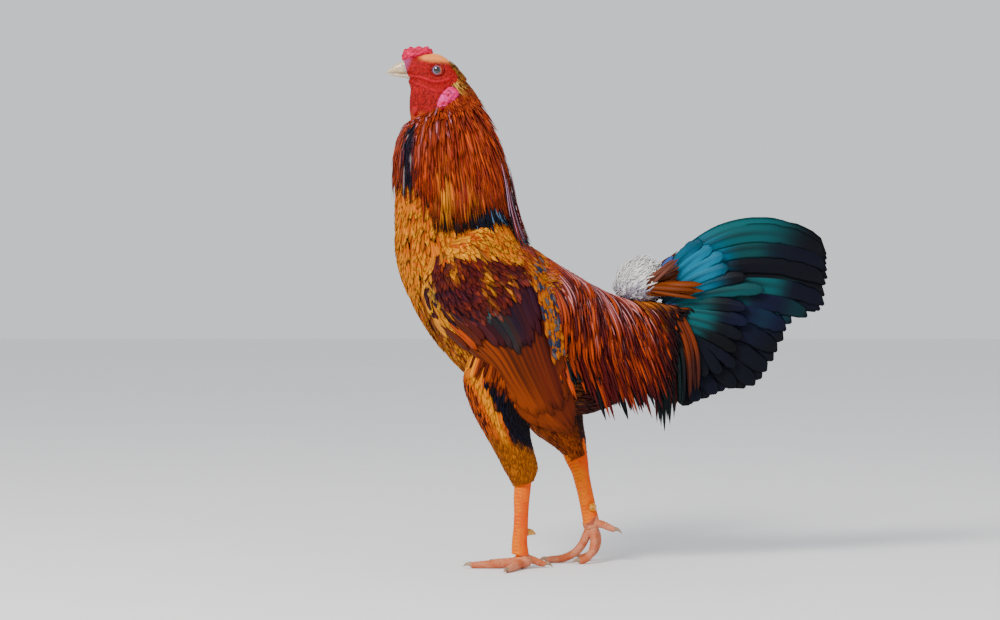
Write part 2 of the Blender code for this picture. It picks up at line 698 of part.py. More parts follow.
def beak():
    upper = make("beak_upper", skin(rings_of(UPPER_BILL, 0.02, 1, 6, 11)), finish("bill"))
    nostrils = [ball(NOSTRIL * (1, side, 1), NOSTRIL_RADII, 4, 6) for side in (1, -1)]
    head = [core(SKULL, 0, 1, 8, 12), core(THROAT, 0, 1, 4, 12)]
    clear_of(clear_of(upper, head), nostrils)
    clear_of(make("beak_lower", skin(rings_of(LOWER_BILL, 0, 1, 5, 10)), finish("bill")), head)


def comb():
    """A pea comb: a low thick crest whose upper side swells into knobs in three lengthwise rows."""
    rows = 11
    u, angle = grid(0.0, 1.0, rows, 12)
    knobs = np.abs(np.cos(1.5 * angle)) * (np.cos(angle) > -0.1)
    swell = KNOB * knobs * (np.arange(rows) % 2)[:, None]
    made = make("comb", skin(section(COMB, u, angle, swell)), finish("comb"))
    clear_of(made, [core(SKULL, 0, 1, 8, 12), core(UPPER_BILL, 0, 1, 6, 10)])


def side_ball(form, side, grow=0.0, around=8):
    """The ellipsoid of a form given for the left side, on one side (1 for the left), or the same one grown."""
    centre, radii = form
    return ball(np.array(centre) * (1, side, 1), np.array(radii) + grow, 4, around)


def lobes(name, side):
    """The ear lobe and the small wattle of one side, set on the bare skin."""
    head = [core(THROAT, 0, 1, 4, 12), core(SKULL, 0, 1, 8, 12)]
    upper, lower = EAR_LOBE
    made = make(f"earlobe_{name}", side_ball(upper, side), finish("lobe"))
    combine(made, [side_ball(lower, side)], "UNION")
    clear_of(made, [*head, body_mesh("neck", GAP)])
    wattle = make(f"wattle_{name}", side_ball(WATTLE, side, around=7), finish("face"))
    clear_of(wattle, [*head, body_mesh("neck", GAP)])


def wing(name, side):
    """A folded wing: flight feathers to the tip, and tiers of coverts over their roots up to the shoulder."""
    made = make(f"wing_{name}", wing_shell(8, 5, 0.88, -WING_DEPTH, 6.5), finish("wing"))
    draw = np.random.default_rng(13)
    feathers = []
    for tier, (count, root, tip, half_width) in enumerate(WING_TIERS):
        s = spans(4)
        for k in range(count):
            v = (k + 0.5 + 0.2 * (tier % 2)) / (count + 0.2)
            end = FLIGHT_TIPS[k] if tip is None else tip + draw.uniform(-0.01, 0.01)
            start = root + 0.04 * math.sin(math.pi * v)
            along = start + (end - start) * s
            path, normal = frame_on(wing_point, along, np.full_like(s, 0.06 + 0.88 * v))
            lift = rise(s, 1.0, 1.0, 3.4) - WING_DEPTH
            feathers.append(vane(path + normal * lift[:, None], normal, half_width * spoon(s), thin(s), -0.07))
    combine(made, feathers, "UNION")
    if side == -1:
        for point in made.data.vertices:
            point.co.y = -point.co.y
        made.data.flip_normals()
    beside = [body_mesh("torso", GAP), body_mesh("rump", GAP), thigh_mesh(side, GAP), body_mesh("neck", 1.5)]
    return clear_of(made, [*beside, *hackle(2, 1.0)])


def toe_mesh(name, toe, grow=0.0):
    points, radii = TOES[name][toe]
    t = np.linspace(0, 1, 2 * len(points) - 1)
    path = spline(points, t)
    size = spline(np.array(radii)[:, None], t)[:, 0]
    lying = path[:, 2] < TOE_LIES * size
    path[lying, 2] = TOE_SUNK * size[lying]
    if grow:
        ends = [2 * path[0] - path[1], 2 * path[-1] - path[-2]]
        ends = [path[k] + (e - path[k]) / np.linalg.norm(e - path[k]) * grow for k, e in zip((0, -1), ends)]
        path = np.vstack([ends[0], path[1:-1], ends[1]])
    ridged = size * (1 + 0.09 * (np.arange(len(size)) % 2))
    return tube(path, ridged + grow, 6, -grow), path, size


def leg(name, side):
    thigh = make(f"thigh_{name}", thigh_mesh(side), finish("thigh"))
    clear_of(thigh, [body_mesh("torso", GAP), body_mesh("rump", GAP)])
    centre, radii = PADS[name]

    def foot(grow):
        lifted = np.array(radii) + grow
        shape = ball(centre, lifted, 6, 10)
        shape[0][:, 2] = np.maximum(shape[0][:, 2], -grow)
        return [shank_mesh(side, grow), shape]

    shank = make(f"shank_{name}", foot(0)[0], finish("shank"))
    combine(shank, foot(0)[1:], "UNION")
    root, tip, radius = SPURS[name]
    route = np.linspace(root, tip, 4)
    spur = make(f"spur_{name}", tube(route, [radius, radius * 0.85, radius * 0.6, 0.5], 8), finish("horn"))
    clear_of(spur, foot(GAP))
    grown = {}
    for toe in TOES[name]:
        mesh, path, size = toe_mesh(name, toe)
        made = make(f"toe_{toe}_{name}", mesh, finish("toe"))
        clear_of(made, foot(GAP) + list(grown.values()))
        grown[toe] = toe_mesh(name, toe, GAP)[0]
        heading = path[-1] - path[-2]
        heading /= np.linalg.norm(heading)
        start = path[-1] - heading
        run = np.linspace(0, 1, 4)[:, None]
        lift = np.array([0, 0, 1.0]) * (1.5 * np.sin(np.pi * run) - 0.5 * run)
        claw = start + heading * CLAW_LENGTH * run + lift
        claw[:, 2] = np.maximum(claw[:, 2], 1.0)
        width = size[-1] * 0.8 * (1 - run[:, 0] ** 1.5) + 0.3
        claw = make(f"claw_{toe}_{name}", tube(claw, width, 5, 0.3), finish("horn"))
        clear_of(claw, [grown[toe]])


def main():
    clear_scene()
    torso()
    saddle()
    neck()
    face()
    beak()
    comb()
    tail()
    for name, side in (("left", 1), ("right", -1)):
        wing(name, side)
        lobes(name, side)
        leg(name, side)
        make(f"eye_{name}", ball(EYE * (1, side, 1), [EYE_RADIUS] * 3, 7, 10), finish("eye"))


main()
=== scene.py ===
"""The looks of a life-size gamecock: skin, plumage, bare face, bill, legs and claws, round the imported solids.

The bird faces -X and stands on z = 0, so its left side faces -Y and the camera. Sizes are in millimetres until a
mesh is made. A surface is a function of two parameters, and every feather is laid along one of these surfaces.
"""

import math

import bmesh
import bpy
import numpy as np
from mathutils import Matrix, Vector


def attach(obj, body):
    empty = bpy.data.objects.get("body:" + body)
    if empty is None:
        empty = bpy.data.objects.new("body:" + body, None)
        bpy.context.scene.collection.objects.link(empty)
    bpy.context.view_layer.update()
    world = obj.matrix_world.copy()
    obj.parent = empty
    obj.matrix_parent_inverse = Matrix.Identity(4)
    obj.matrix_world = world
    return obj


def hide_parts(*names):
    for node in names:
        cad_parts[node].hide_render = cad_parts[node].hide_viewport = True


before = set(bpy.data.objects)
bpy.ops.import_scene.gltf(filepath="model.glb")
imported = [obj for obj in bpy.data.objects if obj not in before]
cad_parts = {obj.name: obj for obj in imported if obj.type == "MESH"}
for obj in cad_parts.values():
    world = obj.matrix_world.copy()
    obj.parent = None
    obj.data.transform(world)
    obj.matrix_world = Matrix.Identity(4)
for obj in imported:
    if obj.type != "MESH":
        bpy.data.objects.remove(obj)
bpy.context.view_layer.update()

MM = 0.001
TAU = 2 * np.pi
# The step that slopes of surfaces are taken over.
STEP = 1e-3

# A form with five numbers in a row is a list of ovals: dorsal or front x and z, ventral or rear x and z, half width.
# The plumage's outer side from the tail's root to the throat.
BODY = [
    (62, 306, 69, 269, 20),
    (37, 308, 54, 232, 35),
    (8, 314, 23, 197, 48),
    (-21, 328, -18, 177, 59),
    (-50, 344, -67, 174, 67),
    (-73, 359, -119, 189, 72),
    (-89, 371, -165, 222, 74),
    (-98, 384, -203, 263, 73),
    (-104, 400, -229, 307, 69),
    (-109, 419, -245, 352, 62),
    (-114, 451, -247, 402, 53),
    (-122, 481, -248, 444, 45),
    (-131, 507, -246, 481, 37),
    (-143.5, 530, -238, 504, 28),
    (-157, 550, -229, 515, 20),
]
BODY_SPANS = len(BODY) - 1
# Where the rump begins, as a place along the body.
RUMP_AT = 4.3 / BODY_SPANS
# The cape of hackle ends at these places along the body, by the angle from the nape.
CAPE_ANGLE = (0.0, 0.42, 0.52, 0.75, 1.2, 1.7, 1.83, 1.93, 2.05, 2.25, math.pi)
CAPE_EDGE = (0.45, 0.50, 0.585, 0.632, 0.638, 0.642, 0.660, 0.688, 0.728, 0.762, 0.782)
# The cape's upper end.
CAPE_TOP = 0.965
# The saddle hangs free of the body from this angle on, in this direction.
DRAPE_ANGLE = 1.75
DRAPE_WAY = np.array([0.26, 0.10, -0.96])

# Each toe of the two feet: the points that its middle passes, and its radii there.
TOES = {
    "left": {
        "middle": ([(-100, -30, 8), (-112, -30, 7.2), (-128, -29.5, 5.6), (-146, -29, 4.6), (-158, -28.5, 3.8)],
                   [6.4, 6.0, 5.4, 4.6, 3.8]),
        "inner": ([(-100, -28, 8), (-109, -19, 6.6), (-119, -9, 5), (-128, -1, 4.2), (-133, 4, 3.4)],
                  [6.0, 5.4, 4.9, 4.2, 3.4]),
        "outer": ([(-99, -32, 8), (-104, -43, 6.6), (-109, -55, 5), (-114, -66, 4.2), (-117, -73, 3.4)],
                  [6.0, 5.4, 4.9, 4.2, 3.4]),
        "hind": ([(-95, -27, 12), (-86, -25, 9), (-79, -23.5, 6), (-73, -22, 4.2)], [5.4, 4.8, 4.2, 3.4]),
    },
    "right": {
        "middle": ([(-18.5, 30, 45), (-23, 30, 34), (-29, 29.5, 21.5), (-38, 29, 11.5), (-51, 28.5, 5.6),
                    (-64, 28, 4.2), (-71, 27.5, 3.7)], [6.2, 5.8, 5.4, 5.2, 4.9, 4.4, 3.6]),
        "inner": ([(-17, 28, 44), (-15, 25, 31), (-16.5, 21, 17), (-22, 17, 8), (-29, 14, 4.2), (-33, 12.5, 3.6)],
                  [5.8, 5.2, 4.9, 4.6, 4.2, 3.4]),
        "outer": ([(-17, 32, 44), (-11, 36, 30), (-12, 42, 17), (-18, 48, 8), (-26, 53, 4.2), (-31, 56, 3.6)],
                  [5.8, 5.2, 4.9, 4.6, 4.2, 3.4]),
        "hind": ([(-14, 27.5, 47), (-5, 25.5, 45), (2, 24.5, 42), (9, 24, 39)], [5.2, 4.8, 4.3, 3.5]),
    },
}
# The ball of each foot with its radii, the spurs (root, tip and root radius), and the length of a claw.
PADS = {"left": ((-99.5, -30, 8.5), (12, 10.5, 8.5)), "right": ((-18.5, 30, 45.5), (10.5, 10, 9))}
SPURS = {"left": ((-95, -24, 41), (-84, -17, 38), 4.6), "right": ((-17, 24, 65), (-16, 12.5, 66), 5.0)}
CLAW = 11.0

# The drumsticks and shanks from the top down, and how far from the bird's middle the hips and hocks lie.
LEFT_THIGH = [
    (-158, 254, -72, 240, 30),
    (-167, 216, -80, 202, 31),
    (-159, 187, -87, 179, 28),
    (-150, 168, -91, 163, 24.5),
    (-139, 149, -89, 146, 20.5),
    (-127.5, 128, -84, 126, 17),
    (-120, 113, -81.5, 114, 15),
    (-112, 99.5, -86, 102, 11.5),
    (-109.3, 92.2, -88.8, 93.4, 9.6),
]
RIGHT_THIGH = [
    (-118, 222, -24, 228, 30),
    (-108, 188, -24, 198, 30),
    (-97, 166, -28, 177, 27),
    (-83, 150, -27, 159, 23),
    (-67, 139, -25, 146, 19),
    (-54, 129, -24, 134.5, 16),
    (-46, 118, -22, 121.5, 13),
    (-41.6, 106, -20.2, 108.5, 10.8),
    (-40, 100, -19.8, 101.6, 9.4),
]
LEFT_SHANK = [
    (-108.8, 108, -88.8, 109, 8.4),
    (-108.8, 97, -88.8, 98, 8.4),
    (-109.4, 86, -90, 86, 8.2),
    (-109.4, 74, -91.4, 73, 7.5),
    (-109.2, 62, -92.2, 61, 7.2),
    (-109.8, 48, -92.6, 47, 7.3),
    (-111.5, 32, -93.4, 30, 8),
    (-112, 17, -91, 14, 9.5),
]
RIGHT_SHANK = [
    (-53, 133, -26.5, 147, 8.8),
    (-50, 122, -23.5, 132, 9.0),
    (-45, 112, -21.5, 118, 8.8),
    (-41, 104, -20.6, 107, 8.6),
    (-38.5, 95, -18.9, 96, 8.1),
    (-35.2, 83, -16.4, 84, 7.6),
    (-32.6, 71, -13.8, 72, 7.4),
    (-30.4, 60, -11.6, 61, 7.6),
    (-28.8, 51, -9.6, 53, 8.5),
    (-27, 43, -9.4, 46, 9),
]
HIP_Y, HOCK_Y = 43.0, 30.0

# The folded left wing's outer side: upper edge x, z, lower edge x, z, and how far out the two edges and middle lie.
WING = [
    (-168, 382, -206, 352, 62, 68, 57),
    (-138, 391, -213, 322, 56, 77, 52),
    (-108, 370, -203, 287, 38, 82, 46),
    (-80, 340, -172, 258, 44, 84, 51),
    (-70, 296, -141, 233, 68, 84, 64),
    (-60, 250, -119, 204, 73, 78, 68),
    (-47, 201, -91, 170, 66, 70, 63),
    (-34, 158, -49, 148, 60, 61, 59),
]

# The head from the nape to the bill's root, and the bare throat from the neck up into the face.
HEAD = [
    (-163, 563, -172, 541, 10),
    (-172, 573.5, -183, 534, 13.5),
    (-181, 581.5, -194, 533, 15),
    (-190, 588.5, -206, 538, 15.3),
    (-200, 592, -216, 547, 14.5),
    (-211, 592, -224, 556, 12.5),
    (-222, 590, -228.5, 562, 10.5),
    (-230.5, 588, -231, 565.5, 8.8),
    (-236.5, 585.5, -232, 568.5, 6.8),
]
THROAT = [
    (-156, 537, -232, 505, 22),
    (-163, 549, -229, 516, 18.5),
    (-169, 558, -230, 526, 17),
    (-174, 566, -230, 539, 15),
    (-180, 572, -229, 551, 12.5),
    (-192, 576, -232, 561, 9),
]
EYE = np.array([-197.0, -9.6, 572.0])
EYE_RADIUS = 7.6

# The bill's two halves from its root to its tip, and the comb from front to rear.
UPPER_BILL = [
    (-229, 586, -229, 568.5, 6.4),
    (-236, 584.0, -236, 568.8, 6.0),
    (-241, 581.8, -241, 569.2, 5.2),
    (-247, 578.6, -247, 569.4, 4.0),
    (-252, 574.8, -252, 569.4, 2.5),
    (-256.6, 570.2, -256.4, 568.8, 0.8),
]
LOWER_BILL = [
    (-228, 569.3, -229, 562.0, 6.0),
    (-235, 569.0, -235, 564.0, 5.1),
    (-241, 569.0, -241, 564.8, 4.2),
    (-247, 569.0, -247, 566.2, 2.9),
    (-252.5, 568.9, -252.5, 567.6, 1.3),
]
COMB = [
    (-238.5, 590.5, -238, 584, 2.4),
    (-235.5, 596.5, -235, 582.5, 5.6),
    (-230, 598.8, -231, 582, 7.4),
    (-223, 599.4, -225, 584, 8.2),
    (-215, 599.6, -217, 586.5, 8.2),
    (-208, 599.4, -211, 588.5, 7.2),
    (-204, 597, -206, 590, 5.2),
    (-202, 594.5, -202.5, 592, 2.2),
]


# How far colours are darkened for a bright studio, and the least light in a colour.
DEEPER, DARKEST = 0.80, 0.0012


def linear(red, green, blue, pure=1.35):
    """A colour given as screen values from 0 to 255, in the linear light that shaders use.

    It is made purer, because the picture's tone curve pales strong colours.
    """
    c = np.array([red, green, blue]) / 255
    c = np.where(c > 0.04045, ((c + 0.055) / 1.055) ** 2.4, c / 12.92)
    grey = c @ (0.3, 0.6, 0.1)
    return np.clip((grey + (c - grey) * pure) * DEEPER, DARKEST, 1)


MAHOGANY = linear(128, 50, 14)
COPPER = linear(192, 96, 22)
GOLD = linear(226, 156, 44)
CHOCOLATE = linear(48, 20, 10)
LILAC = linear(205, 160, 185)
NAVY = linear(10, 14, 36)
TAN = linear(208, 134, 52)
STRAW = linear(240, 190, 112)
RUST = linear(176, 92, 26)
MAROON = linear(78, 26, 16)
PLUM = linear(58, 20, 30)
MAUVE = linear(160, 100, 100)
FLAME = linear(186, 80, 24, 1.15)
WINE = linear(84, 26, 14)
JET = linear(8, 9, 14)
TEAL = linear(0, 104, 108)
CYAN = linear(0, 116, 142)
SPRUCE = linear(4, 60, 60)
DOWN = np.array([0.98, 0.97, 0.95])
ASH = linear(150, 140, 142)
BAY = linear(146, 76, 14)
UMBER = linear(74, 30, 8)
MUSTARD = linear(180, 114, 36)


def spline(rows, t):
    """Values on a smooth curve through evenly spaced rows: Catmull-Rom cubics, with t from 0 to 1."""
    rows = np.asarray(rows, float)
    rows = np.vstack([2 * rows[0] - rows[1], rows, 2 * rows[-1] - rows[-2]])
    x = np.asarray(t, float) * (len(rows) - 3)
    i = np.clip(np.floor(x).astype(int), 0, len(rows) - 4)
    f = (x - i)[..., None]
    a, b, c, d = rows[i], rows[i + 1], rows[i + 2], rows[i + 3]
    return b + 0.5 * f * (c - a + f * (2 * a - 5 * b + 4 * c - d + f * (3 * (b - c) + d - a)))


def unit(vectors):
    """The vectors along the last axis, each brought to length 1."""
    return vectors / np.maximum(np.linalg.norm(vectors, axis=-1, keepdims=True), 1e-9)


def turns(number):
    """Angles spaced evenly over one turn."""
    return np.linspace(0, TAU, number, endpoint=False)


def section(stations, u, angle, grow=0.0, centre_y=0.0):
    """An oval round the line from a dorsal point (angle 0) to a ventral one (angle pi), with the +Y side between."""
    s = spline(stations, u)
    dorsal = np.stack([s[..., 0], np.zeros_like(s[..., 0]), s[..., 1]], -1)
    ventral = np.stack([s[..., 2], np.zeros_like(s[..., 0]), s[..., 3]], -1)
    half = (dorsal - ventral) / 2
    length = np.linalg.norm(half, axis=-1, keepdims=True)
    half = half * (1 + np.asarray(grow)[..., None] / length)
    across = np.zeros_like(half)
    across[..., 1] = s[..., 4] + grow
    middle = (dorsal + ventral) / 2
    middle[..., 1] = centre_y
    return middle + half * np.cos(angle)[..., None] + across * np.sin(angle)[..., None]


def plumage(u, angle):
    """The plumage's outer side, at a place along the body and an angle round it from the back's middle."""
    return section(BODY, u, angle)


def cape_edge(angle):
    """Where the cape's edge lies along the body, at angles round it from the nape."""
    folded = np.abs((angle + np.pi) % TAU - np.pi)
    return np.interp(folded, CAPE_ANGLE, CAPE_EDGE)


def drape(u, angle):
    """The rump's section on +Y, then straight down and back from its widest place, as the saddle hackles hang."""
    on_body = np.minimum(angle, DRAPE_ANGLE)
    points = section(BODY, u, on_body)
    radius = np.linalg.norm(points - section(BODY, u, on_body + 0.01), axis=-1) / 0.01
    return points + DRAPE_WAY * ((angle - on_body) * radius)[..., None]


def thigh(side):
    """The surface of one drumstick: place down it, and angle from its front, with its middle leaning to the hock."""
    rows = LEFT_THIGH if side == 1 else RIGHT_THIGH

    def surface(u, angle):
        return section(rows, u, angle, 0.0, -side * (HIP_Y + (HOCK_Y - HIP_Y) * u))

    return surface


def wing_side(side):
    """The outer side of a folded wing: t from shoulder to tip, v from the upper edge to the lower, a parabola in v."""

    def surface(t, v):
        s = spline(WING, t)
        v = np.asarray(v, float)
        upper = np.stack([s[..., 0], -side * s[..., 4], s[..., 1]], -1)
        lower = np.stack([s[..., 2], -side * s[..., 6], s[..., 3]], -1)
        middle = (upper + lower) / 2
        middle[..., 1] = -side * s[..., 5]
        v = v[..., None]
        return upper * (1 - v) * (1 - 2 * v) + middle * 4 * v * (1 - v) + lower * v * (2 * v - 1)

    return surface


def frame_on(surface, a, b, turn=1):
    """Points of surface(a, b), and its unit normals from the cross product of its two slopes."""
    along = surface(a + STEP, b) - surface(a - STEP, b)
    across = surface(a, b + STEP) - surface(a, b - STEP)
    return surface(a, b), unit(np.cross(across, along) * turn)


class Value:
    """A number that varies over a surface. Arithmetic on it adds Math nodes."""

    def __init__(self, tree, socket):
        self.tree, self.socket = tree, socket

    def math(self, operation, *others):
        """A Math node that takes the value and then the others."""
        node = self.tree.nodes.new("ShaderNodeMath")
        node.operation = operation
        for entry, value in zip(node.inputs, (self, *others)):
            if isinstance(value, Value):
                self.tree.links.new(value.socket, entry)
            else:
                entry.default_value = value
        return Value(self.tree, node.outputs[0])

    def __add__(self, other):
        return self.math("ADD", other)

    __radd__ = __add__

    def __mul__(self, other):
        return self.math("MULTIPLY", other)

    __rmul__ = __mul__

    def __sub__(self, other):
        return self.math("SUBTRACT", other)

    def __rsub__(self, other):
        return (self * -1) + other

    def __truediv__(self, other):
        return self.math("DIVIDE", other)

    def __pow__(self, other):
        return self.math("POWER", other)

    def __abs__(self):
        return self.math("ABSOLUTE")

    def ramp(self, low, high):
        """0 below low, 1 above high, and a smooth step between. low may be the larger."""
        node = self.tree.nodes.new("ShaderNodeMapRange")
        node.interpolation_type = "SMOOTHSTEP"
        flipped = low > high
        self.tree.links.new(self.socket, node.inputs["Value"])
        node.inputs["From Min"].default_value = min(low, high)
        node.inputs["From Max"].default_value = max(low, high)
        node.inputs["To Min"].default_value = float(flipped)
        node.inputs["To Max"].default_value = float(not flipped)
        return Value(self.tree, node.outputs["Result"])

    def wave(self, frequency, phase=0.0):
        """A sine of the value, between 0 and 1."""
        return (self * frequency + phase).math("SINE") * 0.5 + 0.5


class Finish:
    """A material whose nodes are added one call at a time."""

    def __init__(self, name, **constants):
        self.material = bpy.data.materials.new(name)
        self.material.use_nodes = True
        self.tree = self.material.node_tree
        self.shader = self.tree.nodes["Principled BSDF"]
        for socket, value in constants.items():
            self.shader.inputs[socket.replace("_", " ")].default_value = value

    def node(self, kind, settings=None, output=0, **values):
        """A node of the given type, with its settings and then its sockets' values or links.

        A socket is named by its name, or by i and its number. output is the socket that is taken from the node.
        """
        node = self.tree.nodes.new(kind)
        for setting, value in (settings or {}).items():
            setattr(node, setting, value)
        for name, value in values.items():
            key = int(name[1:]) if name[0] == "i" and name[1:].isdigit() else name.replace("_", " ")
            if isinstance(value, Value):
                self.tree.links.new(value.socket, node.inputs[key])
            else:
                node.inputs[key].default_value = value
        return Value(self.tree, node.outputs[output])

    def attribute(self, name, output="Color"):
        """A colour that the mesh carries, or a number where output is Fac."""
        return self.node("ShaderNodeAttribute", {"attribute_name": name}, output)

    def place(self):
        return self.node("ShaderNodeTexCoord", None, "Object")

    def parts(self, vector):
        """The x, y and z of a vector."""
        node = self.tree.nodes.new("ShaderNodeSeparateXYZ")
        self.tree.links.new(vector.socket, node.inputs[0])
        return [Value(self.tree, socket) for socket in node.outputs]

    def colour(self, value):
        """A constant colour with its alpha, or a value as it is."""
        return (*value, 1.0) if not isinstance(value, Value) and len(value) == 3 else value

    def mix(self, factor, first, second, blend="MIX"):
        """A colour from first, where factor is 0, to second, where it is 1."""
        return self.node(
            "ShaderNodeMix",
            {"data_type": "RGBA", "blend_type": blend, "clamp_factor": True},
            2,
            i0=factor,
            i6=self.colour(first),
            i7=self.colour(second),
        )

    def noise(self, vector, scale, detail=3.0, roughness=0.55, distortion=0.0):
        return self.node(
            "ShaderNodeTexNoise", None, "Fac",
            Vector=vector, Scale=scale, Detail=detail, Roughness=roughness, Distortion=distortion,
        )

    def cells(self, vector, scale):
        return self.node("ShaderNodeTexVoronoi", None, "Distance", Vector=vector, Scale=scale)

    def stretched(self, vector, scale):
        return self.node("ShaderNodeMapping", None, 0, Vector=vector, Scale=scale)

    def give(self, socket, value):
        self.tree.links.new(value.socket, self.shader.inputs[socket])

    def bump(self, height, distance):
        """Raises the surface by height times distance, in metres."""
        self.give("Normal", self.node("ShaderNodeBump", None, 0, Height=height, Distance=distance, Strength=1.0))


def feather_finish(name, barbs, barb_depth, rough, shine=0.08, edge=0.0):
    """A feather's finish from its own map: x across, y along, with the shaft at x = 0.5.

    Its colour goes from the vane's base colour to its tip colour along y, with a darker shaft where the mark says so,
    edges darkened by edge, and fine barbs that slant from the shaft to the edges.
    """
    made = Finish(name, Roughness=rough, Specular_IOR_Level=shine)
    across, along, _ = made.parts(made.node("ShaderNodeUVMap", {"uv_map": "vane"}))
    off = abs(across - 0.5) * 2
    mark = made.attribute("mark", "Fac")
    soft = made.noise(made.place(), 900.0, 2.0)
    change = (along + (soft - 0.5) * 0.18 - made.attribute("turn", "Fac")) / 0.34 + 0.5
    body = made.mix(change.ramp(0.0, 1.0), made.attribute("base"), made.attribute("tips"))
    slant = along * barbs - off * (barbs * 0.16)
    barb = slant.wave(TAU)
    shade = 0.86 + barb * 0.14 + (soft - 0.5) * 0.35 - off.ramp(0.6, 1.0) * edge
    shaft = off.ramp(0.42, 0.02) * mark * along.ramp(0.95, 0.5)
    grey = made.node("ShaderNodeCombineColor", None, 0, Red=shade, Green=shade, Blue=shade)
    body = made.mix(1.0, body, grey, "MULTIPLY")
    body = made.mix(shaft, body, made.attribute("dark"))
    made.give("Base Color", body)
    made.give("Roughness", rough + (soft - 0.5) * 0.2)
    made.bump(barb * 0.5 + off.ramp(0.12, 0.0), barb_depth)
    return made.material


def placed(name, data):
    """An object of the scene, at the origin."""
    made = bpy.data.objects.new(name, data)
    bpy.context.scene.collection.objects.link(made)
    return made


def mesh_piece(name, points, faces, finish, slot_name, nodes=(), maps=None, attributes=None):
    """An object of the model from points in mm and arrays of faces, with its maps and attributes given by point.

    faces is a list of arrays, each of faces with the same number of corners. The piece rides on the bird and stands
    for the solids in nodes. slot_name is not used.
    """
    mesh = bpy.data.meshes.new(name)
    points = np.asarray(points, float).reshape(-1, 3) * MM
    corners = np.concatenate([np.asarray(group).ravel() for group in faces])
    sizes = np.concatenate([np.full(len(group), np.asarray(group).shape[1]) for group in faces])
    mesh.vertices.add(len(points))
    mesh.vertices.foreach_set("co", points.ravel())
    mesh.loops.add(len(corners))
    mesh.loops.foreach_set("vertex_index", corners.astype(np.int32))
    mesh.polygons.add(len(sizes))
    mesh.polygons.foreach_set("loop_start", (np.cumsum(sizes) - sizes).astype(np.int32))
    mesh.polygons.foreach_set("loop_total", sizes.astype(np.int32))
    mesh.update(calc_edges=True)
    mesh.validate()
    for map_name, uv in (maps or {}).items():
        layer = mesh.uv_layers.new(name=map_name)
        layer.data.foreach_set("uv", np.asarray(uv)[corners].astype(np.float32).ravel())
    for key, values in (attributes or {}).items():
        values = np.asarray(values, float)
        if values.ndim == 1:
            mesh.attributes.new(key, "FLOAT", "POINT").data.foreach_set("value", values.astype(np.float32))
        else:
            filled = np.concatenate([values, np.ones((len(values), 1))], 1).astype(np.float32)
            mesh.attributes.new(key, "FLOAT_COLOR", "POINT").data.foreach_set("color", filled.ravel())
    mesh.shade_smooth()
    mesh.materials.append(finish)
    made = placed(name, mesh)
    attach(made, "root")
    if nodes:
        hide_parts(*nodes)
    return made


